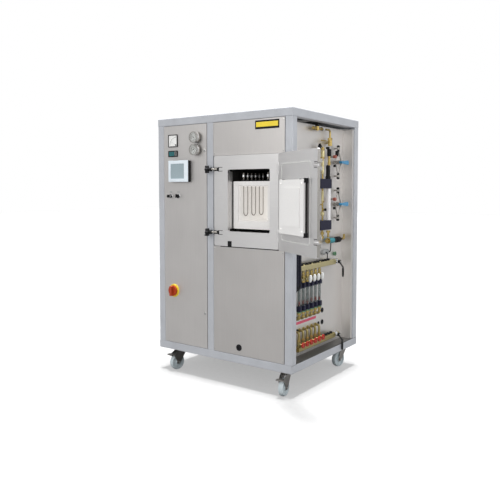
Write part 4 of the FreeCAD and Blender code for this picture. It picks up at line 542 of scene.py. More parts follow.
class Batch:
    def __init__(self, name, mat, body="cabinet", on_open_door=False, slot=None):
        self.name = name
        self.mat = mat
        self.body = body
        self.on_open_door = on_open_door
        self.slot = slot
        self.bm = bmesh.new()

    def add(self, source, matrix):
        source.transform(matrix)
        mesh = bpy.data.meshes.new("part")
        source.to_mesh(mesh)
        source.free()
        self.bm.from_mesh(mesh)
        bpy.data.meshes.remove(mesh)

    def box(self, x0, x1, y0, y1, z0, z1, bevel=0.0):
        source = bmesh.new()
        bmesh.ops.create_cube(source, size=1.0)
        size = Vector((x1 - x0, y1 - y0, z1 - z0)) * MM
        bmesh.ops.scale(source, vec=size, verts=source.verts)
        if bevel:
            bmesh.ops.bevel(source, geom=list(source.edges), offset=bevel * MM, segments=2, affect="EDGES")
        middle = at((x0 + x1) / 2, (y0 + y1) / 2, (z0 + z1) / 2)
        self.add(source, Matrix.Translation(middle))

    def turn(self, x, y, z, axis):
        # Matrix that puts a piece drawn along +Z at a place and points it along the axis
        return Matrix.Translation(at(x, y, z)) @ Vector(axis).to_track_quat("Z", "Y").to_matrix().to_4x4()

    def rod(self, x, y, z, axis, radius, length, end_radius=None, sides=24, bevel=0.0):
        # Round bar or cone from a place along the axis
        source = bmesh.new()
        top = radius if end_radius is None else end_radius
        bmesh.ops.create_cone(source, cap_ends=True, segments=sides, radius1=radius * MM,
                              radius2=max(top, 0.01) * MM, depth=length * MM)
        bmesh.ops.translate(source, vec=(0, 0, length * MM / 2), verts=source.verts)
        if bevel:
            rims = [e for e in source.edges if len(e.link_faces) == 2
                    and any(len(f.verts) > 4 for f in e.link_faces)]
            bmesh.ops.bevel(source, geom=rims, offset=bevel * MM, segments=2, affect="EDGES")
        self.add(source, self.turn(x, y, z, axis))

    def hexagon(self, x, y, z, axis, radius, length, bevel=0.6):
        self.rod(x, y, z, axis, radius, length, sides=6, bevel=bevel)

    def turned(self, x, y, z, axis, profile, sides=32):
        # A profile of (radius, height) pairs turned about the axis
        source = bmesh.new()
        rings = []
        for radius, height in profile:
            loop = []
            for i in range(sides):
                a = 2 * math.pi * i / sides
                across = radius * math.cos(a) * MM
                along = radius * math.sin(a) * MM
                loop.append(source.verts.new((across, along, height * MM)))
            rings.append(loop)
        for low, high in zip(rings, rings[1:]):
            for i in range(sides):
                j = (i + 1) % sides
                source.faces.new((low[i], low[j], high[j], high[i]))
        if profile[0][0] > 0.01:
            source.faces.new(list(reversed(rings[0])))
        if profile[-1][0] > 0.01:
            source.faces.new(rings[-1])
        bmesh.ops.recalc_face_normals(source, faces=source.faces)
        self.add(source, self.turn(x, y, z, axis))

    def ring(self, x, y, z, axis, radius, thick, sides=32, facets=8):
        # Round wire bent into a circle about the axis
        source = bmesh.new()
        loops = []
        for i in range(sides):
            a = 2 * math.pi * i / sides
            loop = []
            for k in range(facets):
                b = 2 * math.pi * k / facets
                reach = radius + thick * math.cos(b)
                across = reach * math.cos(a) * MM
                along = reach * math.sin(a) * MM
                loop.append(source.verts.new((across, along, thick * math.sin(b) * MM)))
            loops.append(loop)
        for i in range(sides):
            j = (i + 1) % sides
            for k in range(facets):
                m = (k + 1) % facets
                source.faces.new((loops[i][k], loops[j][k], loops[j][m], loops[i][m]))
        self.add(source, self.turn(x, y, z, axis))

    def sweep(self, points, radius, facets=10):
        # Round hose, wire or bead along a run of points, in millimetres from the corner
        places = [at(*p) for p in points]
        source = bmesh.new()
        loops = []
        side = None
        for i, place in enumerate(places):
            way = (places[min(i + 1, len(places) - 1)] - places[max(i - 1, 0)]).normalized()
            if side is None:
                side = way.orthogonal().normalized()
            side = (side - way * side.dot(way)).normalized()
            other = way.cross(side)
            loop = []
            for k in range(facets):
                a = 2 * math.pi * k / facets
                step = side * math.cos(a) + other * math.sin(a)
                loop.append(source.verts.new(place + step * radius * MM))
            loops.append(loop)
        for low, high in zip(loops, loops[1:]):
            for k in range(facets):
                m = (k + 1) % facets
                source.faces.new((low[k], low[m], high[m], high[k]))
        source.faces.new(list(reversed(loops[0])))
        source.faces.new(loops[-1])
        bmesh.ops.recalc_face_normals(source, faces=source.faces)
        self.add(source, Matrix.Identity(4))

    def disc(self, x, y, z, axis, radius, sides=48):
        self.rod(x, y, z, axis, radius, 0.4, sides=sides)

    def done(self):
        if self.on_open_door:
            for v in self.bm.verts:
                v.co = swing(v.co)
        mesh = bpy.data.meshes.new(self.name)
        self.bm.to_mesh(mesh)
        self.bm.free()
        mesh.shade_smooth()
        mesh.set_sharp_from_angle(angle=math.radians(35.0))
        mesh.materials.append(self.mat)
        obj = bpy.data.objects.new(self.name, mesh)
        bpy.context.scene.collection.objects.link(obj)
        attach(obj, self.body)


def smooth_path(points, bend, steps=6):
    # Straight runs with rounded corners, as a run of points
    result = [Vector(points[0])]
    for before, corner, after in zip(points, points[1:], points[2:]):
        before, corner, after = Vector(before), Vector(corner), Vector(after)
        a = corner + (before - corner).normalized() * bend
        b = corner + (after - corner).normalized() * bend
        for i in range(steps + 1):
            t = i / steps
            result.append(a * (1 - t) ** 2 + corner * 2 * t * (1 - t) + b * t * t)
    result.append(Vector(points[-1]))
    return [tuple(p) for p in result]


def screw_heads(name, places, axis):
    # Button heads with a hexagon socket, on the cabinet
    heads = Batch(name, ZINC)
    holes = Batch(name + "_sockets", BLACK_STEEL)
    way = Vector(axis)
    radius = 4.5
    profile = [(radius, 0), (radius, 0.8), (radius * 0.8, 2.0), (radius * 0.45, 2.6), (0, 2.6)]
    for x, y, z in places:
        heads.turned(x, y, z, axis, profile, sides=20)
        holes.hexagon(*(Vector((x, y, z)) + way * 2.45), axis, radius * 0.42, 0.3, 0.0)
    heads.done()
    holes.done()


# Front: name plate left bare, and the screws of the two panels

NAME_LEFT = -308
NAME_RIGHT = -107
NAME_BOTTOM = 1691
NAME_TOP = 1752
plate = Batch("name_plate", BLACK)
plate.box(NAME_LEFT, NAME_RIGHT, -1.8, 0, NAME_BOTTOM, NAME_TOP, 0.8)
plate.done()
field = Batch("name_plate_field", YELLOW)
field.box(NAME_LEFT + 9, NAME_RIGHT - 9, -2.4, -1.7, NAME_BOTTOM + 15, NAME_TOP - 12, 0.3)
field.done()

UPPER_PANEL_SCREWS = (1535, 1750)
LOWER_PANEL_SCREWS = (78, 835)
places = [(x, 0, z) for x in (-676, -73) for z in UPPER_PANEL_SCREWS + LOWER_PANEL_SCREWS]
screw_heads("front_panel_screws", places, FRONT)

# Cupboard door: panel meter with its scale and hand

METER_X = DOOR_LEFT + 49
METER_Z = 1600
METER_SIDE = 96
METER_FRAME = 6.5
PIVOT_X = METER_X + 80
PIVOT_Z = METER_Z + 15
SCALE_RADIUS = 58
HAND_ANGLE = 150
meter_face = Batch("panel_meter_face", DIAL, "cupboard_door")
meter_face.box(METER_X + METER_FRAME, METER_X + METER_SIDE - METER_FRAME, -4.2, -3.2,
               METER_Z + METER_FRAME, METER_Z + METER_SIDE - METER_FRAME, 0.4)
meter_face.done()
marks = Batch("panel_meter_marks", BLACK, "cupboard_door")
for i in range(31):
    dx, dz = around(90 + 3 * i)
    marks.rod(PIVOT_X + SCALE_RADIUS * dx, -4.3, PIVOT_Z + SCALE_RADIUS * dz, (dx, 0, dz), 0.5,
              8 if i % 5 == 0 else 4, sides=4)
dx, dz = around(HAND_ANGLE)
marks.rod(PIVOT_X, -4.6, PIVOT_Z, (dx, 0, dz), 0.7, 56, 0.3, 5)
marks.rod(PIVOT_X, -5.4, PIVOT_Z, BACK, 6, 1.4)
marks.done()

# Small indicator under the meter: lit window, and three buttons on a metal strip

READER_BOTTOM = 1531
READER_TOP = 1565
reader = Batch("reader_window", READOUT, "cupboard_door")
reader.box(METER_X + 7, METER_X + 62, -4.2, -3.2, READER_BOTTOM, READER_TOP, 0.4)
reader.done()
reader_side = Batch("reader_keys", ZINC, "cupboard_door")
reader_side.box(METER_X + 65, METER_X + 88, -4.4, -3.2, READER_BOTTOM, READER_TOP, 0.6)
reader_side.done()
keys = Batch("reader_buttons", BLACK, "cupboard_door")
for k in range(3):
    z = READER_BOTTOM + 3 + 10.5 * k
    keys.box(METER_X + 68, METER_X + 85, -5.0, -4.3, z, z + 7, 0.5)
keys.done()

# Touch panel: pale bezel, wider on the right, round the glass

SCREEN_LEFT = DOOR_LEFT + 75
SCREEN_RIGHT = SCREEN_LEFT + 203
SCREEN_BOTTOM = 1330
SCREEN_TOP = 1493
BORDER = 24
WIDE_BORDER = 42
bezel = Batch("screen_bezel", PALE_BLUE, "cupboard_door")
for x0, x1, z0, z1 in (
        (SCREEN_LEFT, SCREEN_LEFT + BORDER, SCREEN_BOTTOM, SCREEN_TOP),
        (SCREEN_RIGHT - WIDE_BORDER, SCREEN_RIGHT, SCREEN_BOTTOM, SCREEN_TOP),
        (SCREEN_LEFT + BORDER - 2, SCREEN_RIGHT - WIDE_BORDER + 2, SCREEN_BOTTOM, SCREEN_BOTTOM + BORDER),
        (SCREEN_LEFT + BORDER - 2, SCREEN_RIGHT - WIDE_BORDER + 2, SCREEN_TOP - BORDER, SCREEN_TOP)):
    bezel.box(x0, x1, -33, -29.5, z0, z1, 1.2)
bezel.done()
glass = Batch("screen_glass", SCREEN, "cupboard_door")
glass.box(SCREEN_LEFT + 22.5, SCREEN_RIGHT - 44.5, -29.6, -28.2, SCREEN_BOTTOM + 22.5, SCREEN_TOP - 22.5)
glass.done()

# Two round gauges: rims, dials with their marks and hands, panes

GAUGE_RIM = [(37.2, 5), (37.2, 0.6), (39, 0), (42, 0.6), (42.4, 3), (42.4, 7), (42.1, 8)]
GAUGE_BAND = [(42.1, 0), (43.2, 0.6), (43.2, 2.0), (42.1, 2.6)]
GAUGE_READINGS = (215, 150)
MARK_RADIUS = 28
cases = Batch("gauge_rims", CHROME, "cupboard_door")
# The dials glow: painted light under the panes
dials = Batch("gauge_dials", DIAL_PAINTED_GLOW, "cupboard_door")
hands = Batch("gauge_hands", BLACK, "cupboard_door")
panes = Batch("gauge_panes", CLEAR, "cupboard_door")
for z, reading in zip(GAUGE_Z, GAUGE_READINGS):
    cases.turned(GAUGE_X, -46, z, BACK, GAUGE_RIM, sides=56)
    cases.turned(GAUGE_X, -32.5, z, BACK, GAUGE_BAND, sides=56)
    dials.disc(GAUGE_X, -41.6, z, FRONT, 37.0)
    for i in range(28):
        dx, dz = around(225 - 10 * i)
        width, length = (0.6, 6) if i % 3 == 0 else (0.35, 3.5)
        hands.rod(GAUGE_X + MARK_RADIUS * dx, -42.2, z + MARK_RADIUS * dz, (dx, 0, dz), width, length,
                  sides=4)
    dx, dz = around(reading)
    hands.rod(GAUGE_X - 8 * dx, -43, z - 8 * dz, (dx, 0, dz), 0.9, 36, 0.25, 6)
    hands.rod(GAUGE_X, -43.6, z, BACK, 3.4, 1.8)
    panes.rod(GAUGE_X, -45.2, z, BACK, 37.1, 1.0, sides=56)
for b in (cases, dials, hands, panes):
    b.done()

# Rings and bare tag plates of the key switch and the selector, and the cupboard's three locks

SWITCH_Z = 1219
SWITCH_RING = [(17, 0), (17, 1.4), (15.2, 2.4), (14.6, 2.4)]
rings = Batch("switch_rings", CHROME, "cupboard_door")
tags = Batch("switch_tag_plates", ZINC, "cupboard_door")
for x in (DOOR_LEFT + 70, DOOR_LEFT + 150):
    rings.turned(x, 0, SWITCH_Z, FRONT, SWITCH_RING, sides=40)
    tags.box(x - 14, x + 14, -1.0, 0, SWITCH_Z + 26, SWITCH_Z + 40, 0.4)
rings.done()
tags.done()

LOCK_X = -772
locks = Batch("cupboard_locks", ZINC, "cupboard_door")
lock_slots = Batch("cupboard_lock_slots", BLACK_STEEL, "cupboard_door")
for z in (330, 930, 1560):
    locks.turned(LOCK_X, 0, z, FRONT, [(11, 0), (11, 1.2), (9.6, 2.6), (0, 2.6)], sides=32)
    lock_slots.box(LOCK_X - 1.2, LOCK_X + 1.2, -3.2, -2.5, z - 6, z + 6)
locks.done()
lock_slots.done()

# Main switch: marks for on and off on its collar
collar = Batch("main_switch_marks", BLACK, "cupboard_door")
for angle in (90, 0):
    dx, dz = around(angle)
    collar.rod(MAIN_X + 45 * dx, -7.8, MAIN_Z + 45 * dz, FRONT, 2.2, 0.6)
collar.done()

# Furnace door: weld bead along the foot of the jacket, one run for each side

JACKET_RIGHT = HINGE_X - 72
JACKET_LEFT = JACKET_RIGHT - 410
JACKET_BOTTOM = PLATE_MID_Z - 280
JACKET_TOP = PLATE_MID_Z + 280
WELD_STEP = 5
seam = Batch("door_jacket_weld", DOOR_STEEL, "vessel_door", on_open_door=True)
corners = [(JACKET_LEFT, JACKET_BOTTOM), (JACKET_RIGHT, JACKET_BOTTOM), (JACKET_RIGHT, JACKET_TOP),
           (JACKET_LEFT, JACKET_TOP)]
for (ax, az), (bx, bz) in zip(corners, corners[1:] + corners[:1]):
    steps = int(math.hypot(bx - ax, bz - az) / WELD_STEP)
    seam.sweep([(ax + (bx - ax) * i / steps, LEAF_OUTER - 0.6, az + (bz - az) * i / steps)
                for i in range(steps + 1)], 2.4, 6)
seam.done()

# Water stubs on the jacket, each with a short hose and its tie

STUB_X = JACKET_RIGHT - 70
STUB_Z = (JACKET_BOTTOM + 60, JACKET_TOP - 60)
stubs = Batch("door_water_stubs", BRASS, "vessel_door", on_open_door=True)
hose = Batch("door_water_hoses", RUBBER, "vessel_door", on_open_door=True)
hose_ties = Batch("door_hose_ties", ZINC, "vessel_door", on_open_door=True)
for z, way in zip(STUB_Z, (1, -1)):
    stubs.hexagon(STUB_X, LEAF_OUTER - 33, z, FRONT, 15, 9)
    stubs.rod(STUB_X, LEAF_OUTER - 40, z, FRONT, 8, 22)
    for reach in (52, 57):
        stubs.ring(STUB_X, LEAF_OUTER - reach, z, BACK, 8.4, 1.0)
    end = z + 90 * way
    route = [(STUB_X, LEAF_OUTER - 50, z), (STUB_X, LEAF_OUTER - 68, z), (STUB_X, LEAF_OUTER - 68, end),
             (STUB_X, LEAF_OUTER - 34, end)]
    hose.sweep(smooth_path(route, 15), 10.5, 12)
    hose_ties.ring(STUB_X, LEAF_OUTER - 56, z, BACK, 11.0, 1.2)
for b in (stubs, hose, hose_ties):
    b.done()

# Bolts of the clamp pads, pins through the plug
bolts = Batch("pad_bolts", ZINC, "vessel_door", on_open_door=True)
for z in CLAMP_Z:
    for dz in (-26, 26):
        bolts.hexagon(LEAF_END + 41, -51.5, z + dz, FRONT, 6, 4)
bolts.done()
PLUG_MID_X = HINGE_X - 92 - 348 / 2
PLUG_MID_Z = 985 + 345 / 2
PIN_HEAD = [(7, 0), (7, 1.5), (5, 3), (0, 3)]
plug_pins = Batch("plug_pins", FIBRE, "vessel_door", on_open_door=True)
for dx in (-150, 150):
    for dz in (-150, 150):
        plug_pins.turned(PLUG_MID_X + dx, 16.5, PLUG_MID_Z + dz, BACK, PIN_HEAD, 24)
plug_pins.done()

# Black keepers at the plug's corners, one clip on its top edge, and painted shadows along the leaf's two
# slots
keepers = Batch("plug_keepers", BLACK, "vessel_door", on_open_door=True)
KEEPER_BACK = LEAF_INNER + 0.1
for z0, z1 in ((974, 1003), (1312, 1341)):
    keepers.box(-540, -528, KEEPER_BACK, 13.5, z0, z1, 1.0)
    keepers.box(-196, -184, KEEPER_BACK, -5, max(z0, 978), min(z1, 1337), 1.0)
keepers.box(-448, -436, KEEPER_BACK, -5, 1330, 1338, 1.0)
keepers.done()
leaf_slot_shadows = Batch("leaf_slot_painted_shadows", BLACK, "vessel_door", on_open_door=True)
for z in CLAMP_Z:
    for dz in (-17, 17):
        leaf_slot_shadows.box(LEAF_END + 1, LEAF_END + 42, LEAF_INNER, LEAF_INNER + 0.7, z + dz - 2, z + dz + 2, 0.2)
leaf_slot_shadows.done()

# Vessel: plain steel on the mouth's left wall, painted shadows along the front plate's slots, a painted
# shadow strip under the plate
liner = Batch("mouth_liner", DOOR_STEEL)
liner.box(MOUTH_LEFT - 0.4, MOUTH_LEFT + 0.4, 8.2, 43, MOUTH_BOTTOM + 14, MOUTH_TOP - 13)
liner.done()
plate_slot_painted_shadows = Batch("plate_slot_painted_shadows", BLACK)
for z in CLAMP_Z:
    for dz in (-14, 14):
        plate_slot_painted_shadows.box(-637, -592, PLATE_FRONT - 0.4, PLATE_FRONT + 0.1, z + dz - 1.8, z + dz + 1.8, 0.1)
plate_slot_painted_shadows.done()
plate_shadow_strip = Batch("plate_painted_shadow", RUBBER)
plate_shadow_strip.box(-620, -108, -3, -0.1, PLATE_BOTTOM - 7.5, PLATE_BOTTOM - 0.4, 0.3)
plate_shadow_strip.done()

# Dark sheet along the floor of the service bay: painted shade under the manifolds
floor_shade_sheet = Batch("bay_floor_shade_sheet", BAY_FLOOR_PAINTED_SHADE)
floor_shade_sheet.box(BAY_X + 1, -1.5, 44, 918, TUBE + 2, TUBE + 2.8, 0.2)
floor_shade_sheet.done()

# Clamp bolts: a thread on each shank and a cap on each star knob

THREAD_START = 14.0
THREAD_PITCH = 1.6
THREAD_TURNS = 23
KNOB_END = 97.5  # from a clamp's pivot to its star knob's end face
for level in LEVELS:
    origin = (Vector(joints["clamp_swing_" + level]["pos_m"]) - CORNER) / MM
    way = Vector(joints["clamp_knob_turn_" + level]["axis"])
    thread = Batch("clamp_thread_" + level, NICKEL, "bolt_" + level)
    for turn in range(THREAD_TURNS):
        place = origin + way * (THREAD_START + THREAD_PITCH * turn)
        thread.ring(*place, way, 6.9, 0.55, sides=20, facets=4)
    thread.done()
    cap = Batch("clamp_cap_" + level, RUBBER, "knob_" + level)
    cap.turned(*(origin + way * KNOB_END), way, [(12, 0), (12, 0.8), (9, 1.8), (0, 1.8)], sides=28)
    cap.done()

# Switchgear in the cupboard: fronts, toggles, terminal screws and one wire up from each breaker

GEAR_LEFT = TUBE + 30 - CAB_W
GEAR_FRONT = CAB_D - TUBE - 30 - 3 - 73
BREAKER_ROWS = (1500, 1290, 1080)
BREAKER_PITCH = 36
toggles = Batch("breaker_toggles", BLACK)
faces = Batch("breaker_fronts", GEAR_GREY)
screws = Batch("breaker_screws", ZINC)
wires = [Batch("wires_red", RED), Batch("wires_blue", BLUE), Batch("wires_black", RUBBER)]
y = GEAR_FRONT
for row, row_z in enumerate(BREAKER_ROWS):
    z = row_z + 17.5
    for k in range(8):
        x = GEAR_LEFT + 40 + BREAKER_PITCH * k
        faces.box(x + 1.5, x + 33.5, y - 4, y, z - 22, z + 22, 1.0)
        toggles.box(x + 11, x + 24, y - 12, y - 4, z - 5, z + 9, 1.2)
        for dx in (9, 26):
            for dz in (-33, 33):
                screws.turned(x + dx, y, z + dz, FRONT, [(4, 0), (4, 0.6), (0, 0.6)], 16)
        route = [(x + 17, y + 6, z + 38), (x + 17, y - 4, z + 52), (x + 17, y + 10, z + 84)]
        wires[(k + row) % 3].sweep(smooth_path(route, 12), 2.2, 8)
for b in (toggles, faces, screws, *wires):
    b.done()

# Service bay, water side: union nuts, valve handles and floats of the six circuits between the two bars. The
# photograph shows a white handle on the last four only.

WATER_X = -58.0
BAR_START = 162
BAR_END = 712
SUPPLY_Z = 708
RETURN_Z = 129
CIRCUIT_NUTS = ((640, 14, 14), (604, 14.5, 9), (662, 12, 12), (376, 15, 12), (352, 12.5, 9), (182, 13, 12))
HANDLE = [(0, -29), (7, -27), (13, -14), (14, 4), (9, 22), (0, 27)]
FLOAT = [(0, 0), (5, 2), (8.4, 18), (8.4, 24), (4, 27), (4, 34), (0, 35)]
BAR_CAP = [(12, 0), (13, 1), (13, 11), (11, 14), (0, 14)]
hexes = Batch("water_union_nuts", BRASS)
caps = Batch("bar_caps", BLACK)
handles = Batch("stop_valve_handles", WHITE)
stems = Batch("stop_valve_stems", ZINC)
greens = Batch("green_rings", GREEN)
floats = Batch("flow_floats", RED)
scales = Batch("flow_scales", BLACK)
spindles = Batch("wheel_spindles", BRASS)
FIRST_WITH_HANDLE = 2
for i, y in enumerate(CIRCUITS):
    for z, radius, length in CIRCUIT_NUTS:
        hexes.hexagon(WATER_X, y, z, UP, radius, length)
    for z in (OUTLET_Z, INLET_Z):
        hexes.hexagon(BAY_X, y, z, RIGHT, 15, 7)
    stems.rod(WATER_X + 13, y, 631, RIGHT, 4, 14)
    if i >= FIRST_WITH_HANDLE:
        handles.turned(WATER_X + 24, y, 625, (0.1, 0, 1), HANDLE, 24)
    greens.turned(WATER_X, y, 390, UP, [(15.5, 0), (16.5, 1), (16.5, 6), (15.5, 7)], 32)
    floats.turned(WATER_X, y, 440 + 5 * math.sin(2.3 * i), UP, FLOAT, 20)
    for k in range(9):
        z = 450 + 12 * k
        scales.box(WATER_X + 10.6, WATER_X + 11.3, y - 5, y + (5 if k % 2 == 0 else 0), z, z + 1)
    spindles.hexagon(WATER_X + 36, y, 160, RIGHT, 6, 5)
for k in range(12):
    caps.turned(WATER_X, 180 + 40 * k, SUPPLY_Z + 19, UP, BAR_CAP, 20)
for k in range(5):
    caps.turned(WATER_X, 512 + 40 * k, RETURN_Z + 19, UP, BAR_CAP, 20)
for b in (hexes, caps, handles, stems, greens, floats, scales, spindles):
    b.done()
strip = Batch("pipe_marking_strip", STRIP_RED)
strip.box(BAY_X, BAY_X + 0.6, 164, 497, 293, 313, 0.2)
strip.done()

# Ends of the two bars: nuts, the ball valves' sleeves and the nuts of their levers
VALVE_Y = BAR_END + 28
ends = Batch("bar_end_nuts", BRASS)
for name, z in (("supply", SUPPLY_Z), ("return", RETURN_Z)):
    ends.hexagon(WATER_X, BAR_START, z, FRONT, 15, 8)
    ends.hexagon(WATER_X, BAR_END + 57, z, BACK, 16, 12)
    valve = Batch("ball_valve_sleeve_" + name, CHROME)
    valve.hexagon(WATER_X, BAR_END + 1, z, BACK, 24, 12)
    valve.turned(WATER_X, BAR_END + 13, z, BACK, [(21.3, 0), (23, 2), (23, 28), (21.3, 30)], 32)
    valve.rod(WATER_X + 20, VALVE_Y, z, RIGHT, 11, 8)
    valve.done()
    nut = Batch("lever_nut_" + name, ZINC, "shutoff_" + name)
    nut.hexagon(-14, VALVE_Y, z, RIGHT, 7, 4)
    nut.done()
ends.done()

# Ribs of the two cooling hoses, and the ties and nuts at their ends
HOSE_X = -32
ribs = Batch("hose_ribs", NAVY)
ties = Batch("hose_ties", ZINC)
for i in range(2):
    y = 112 + 36 * i
    top = 900 - 40 * i
    low = 545 + 14 * i
    for z in range(low + 50, top - 48, 6):
        ribs.ring(HOSE_X, y, z, UP, 14.2, 1.5, sides=20, facets=6)
    for z in (top, low):
        ties.ring(-84, y, z, RIGHT, 14.6, 1.3, sides=24)
        ties.hexagon(BAY_X, y, z, RIGHT, 19, 6)
ribs.done()
ties.done()

# Service bay, gas side: inlet valve and bend at the top, riser with its sleeves, flow meter's ends

GAS_X = -60.0
INLET_VALVE_Z = CAB_H - TUBE - 44
RISER_Y = 528
FLOW_METER_Y = 622
gas_nuts = Batch("gas_nuts", BRASS)
gas_black = Batch("gas_black_fittings", BLACK)
gas_steel = Batch("gas_steel_fittings", NICKEL)
gas_bright = Batch("gas_riser_sleeves", BRASS_LIGHTER_WITH_HIGHLIGHT)
gas_grey = Batch("gas_grey_glands", GEAR_GREY)
gas_green = Batch("gas_green_gland", GREEN)
for y in (379, 435, 495):
    gas_nuts.hexagon(GAS_X, y, INLET_VALVE_Z, BACK, 13, 12)
gas_black.turned(GAS_X, 440, INLET_VALVE_Z + 14, UP, [(14, 0), (15, 2), (15, 10), (12, 13), (0, 13)], 24)
gas_black.turned(GAS_X, 502, INLET_VALVE_Z, BACK, [(11, 0), (12, 2), (12, 12), (9, 14), (0, 14)], 24)
gas_nuts.box(GAS_X - 3, GAS_X + 3, 500, 626, 1633, 1641, 2.0)
gas_nuts.hexagon(GAS_X, 640, 1648, UP, 18, 16)
for z in (1566, 1500, 931, 905):
    gas_nuts.hexagon(GAS_X, RISER_Y, z, UP, 13.5, 12)
gas_nuts.rod(GAS_X, RISER_Y, 1120, RIGHT, 8, 22)
gas_nuts.rod(GAS_X, RISER_Y, 1180, RIGHT, 7, 12)
gas_black.turned(GAS_X + 20, RISER_Y, 1120, RIGHT, [(9, 0), (10, 2), (10, 10), (8, 12), (0, 12)], 24)
for low, high, radius in ((1512, 1564, 14), (1386, 1488, 10), (1170, 1262, 9), (1072, 1106, 14)):
    sleeve = [(radius - 2, 0), (radius, 2), (radius, high - low - 2), (radius - 2, high - low)]
    gas_bright.turned(GAS_X, RISER_Y, low, UP, sleeve, 24)
# Place along the bay, height, radius and length of the plain black fittings
for y, z, radius, length in ((482, 1587, 15, 12), (482, 1572, 10, 40), (604, 1578, 14, 16),
                             (628, 1524, 16, 54), (756, 1530, 13, 42)):
    gas_black.rod(GAS_X, y, z, UP, radius, length)
gas_black.turned(GAS_X, 612, 1351, UP, [(20, 0), (20, 18), (16, 24), (16, 96), (12, 105), (0, 105)], 28)
gas_nuts.rod(GAS_X, 628, 1478, UP, 9, 46)
gas_nuts.rod(GAS_X, 628, 1456, UP, 12, 24)
gas_nuts.hexagon(GAS_X, FLOW_METER_Y, 941, UP, 16, 16)
gas_nuts.rod(GAS_X, FLOW_METER_Y, 905, UP, 8, 40)

# Valve stations: caps and nuts at both ends, unions on the branch, a black button below
STATION_CAP = [(10.5, 8), (12, 9), (12, 18), (8, 24), (0, 24)]
for z in STATIONS:
    for way in (-1, 1):
        end = z + way * 108
        gas_black.turned(GAS_X, STATION_Y, end, (0, 0, way), STATION_CAP, 24)
        gas_steel.hexagon(GAS_X, STATION_Y, end - 5, UP, 12, 10)
        gas_black.rod(GAS_X, STATION_Y, end - way * 9, (0, 0, -way), 10.5, 16)
    for y in (742, 804):
        gas_steel.hexagon(GAS_X, y, z, BACK, 11, 10)
    gas_steel.rod(GAS_X, 716, z, BACK, 5, 30)
    gas_black.rod(GAS_X, 706, z - 30, RIGHT, 10, 14)

# Glands under the flow meter, and the two cables from them
GLAND_Y = (590, 640)
GLAND_Z = 791
GLAND = [(20, -1), (21, 0), (21, 4), (16, 6), (15, 12), (9, 14), (0, 14)]
for y in GLAND_Y:
    gas_grey.turned(-77, y, GLAND_Z, RIGHT, GLAND, 32)
gas_green.ring(-80, 780, 763, RIGHT, 15, 3)
for b in (gas_nuts, gas_black, gas_steel, gas_grey, gas_green, gas_bright):
    b.done()
FIRST_CABLE = [(-90, 590, GLAND_Z), (-48, 590, GLAND_Z), (-48, 590, 740), (-92, 590, 726)]
SECOND_CABLE = [(-90, 640, GLAND_Z), (-50, 640, GLAND_Z), (-50, 648, 850), (-58, 660, 868)]
cables = Batch("gas_hoses", RUBBER)
for route in (FIRST_CABLE, SECOND_CABLE):
    cables.sweep(smooth_path(route, 14), 4, 8)
cables.done()

# Castors: hub caps, raised edges of the wheels and axle nuts

HUB_CAP = [(18, 0), (18.6, 0.6), (16, 1.8), (10, 1.9)]
for corner in CASTORS:
    roll = joints["roll_" + corner]
    centre = (Vector(roll["pos_m"]) - CORNER) / MM
    way = Vector(roll["axis"])
    hub = Batch("wheel_hub_" + corner, ZINC, "wheel_" + corner)
    tyre = Batch("wheel_edge_" + corner, GEAR_GREY, "wheel_" + corner)
    nuts = Batch("axle_nuts_" + corner, ZINC, "fork_" + corner)
    for side in (-1, 1):
        hub.turned(*(centre + way * side * 17.4), way * side, HUB_CAP, 32)
        tyre.ring(*(centre + way * side * 11.0), way * side, 47.5, 1.3, sides=48, facets=6)
        nuts.hexagon(*(centre + way * side * 27.5), way * side, 9, 5)
    for b in (hub, tyre, nuts):
        b.done()

# Screws round the back, left and top panels
SCREW_Y = (75, 505, 935)
SCREW_Z = (75, 640, 1190, 1750)
places = [(x, CAB_D, z) for x in (-1180, -966, -759, -679, -374, -70) for z in SCREW_Z]
screw_heads("back_panel_screws", places, BACK)
places = [(-CAB_W, y, z) for y in SCREW_Y for z in SCREW_Z]
screw_heads("side_panel_screws", places, LEFT)
places = [(x, y, CAB_H) for x in (-1176, -764, -674, -75) for y in SCREW_Y]
screw_heads("top_panel_screws", places, UP)

# Inside the vessel: bushes round the leads of the heating elements
bushes = Batch("terminal_bushes", BLACK_STEEL)
for x in (-468, -252):
    for y in range(82, 333, 50):
        bushes.turned(x, y, 1330, UP, [(6.2, 0), (11, 0), (11, 12), (8, 14), (6.2, 14)], 24)
bushes.done()


# Camera from the photograph's own viewpoint

CAMERA_PLACE = (2082.5, -3381.7, 1267.6)
CAMERA_YAW = math.radians(-35.76)
CAMERA_PITCH = math.radians(-3.31)
camera_data = bpy.data.cameras.new("camera")
camera_data.lens = 42.25
camera_data.sensor_width = 36.0
camera_data.shift_y = -0.0522
camera = bpy.data.objects.new("camera", camera_data)
camera.location = at(*CAMERA_PLACE)
view_way = Vector((math.sin(CAMERA_YAW) * math.cos(CAMERA_PITCH),
                   math.cos(CAMERA_YAW) * math.cos(CAMERA_PITCH),
                   math.sin(CAMERA_PITCH)))
camera.rotation_mode = "QUATERNION"
camera.rotation_quaternion = view_way.to_track_quat("-Z", "Y")
bpy.context.scene.collection.objects.link(camera)
bpy.context.scene.camera = camera

# Floor: the cabinet sees a grey studio floor, the camera sees pale paper

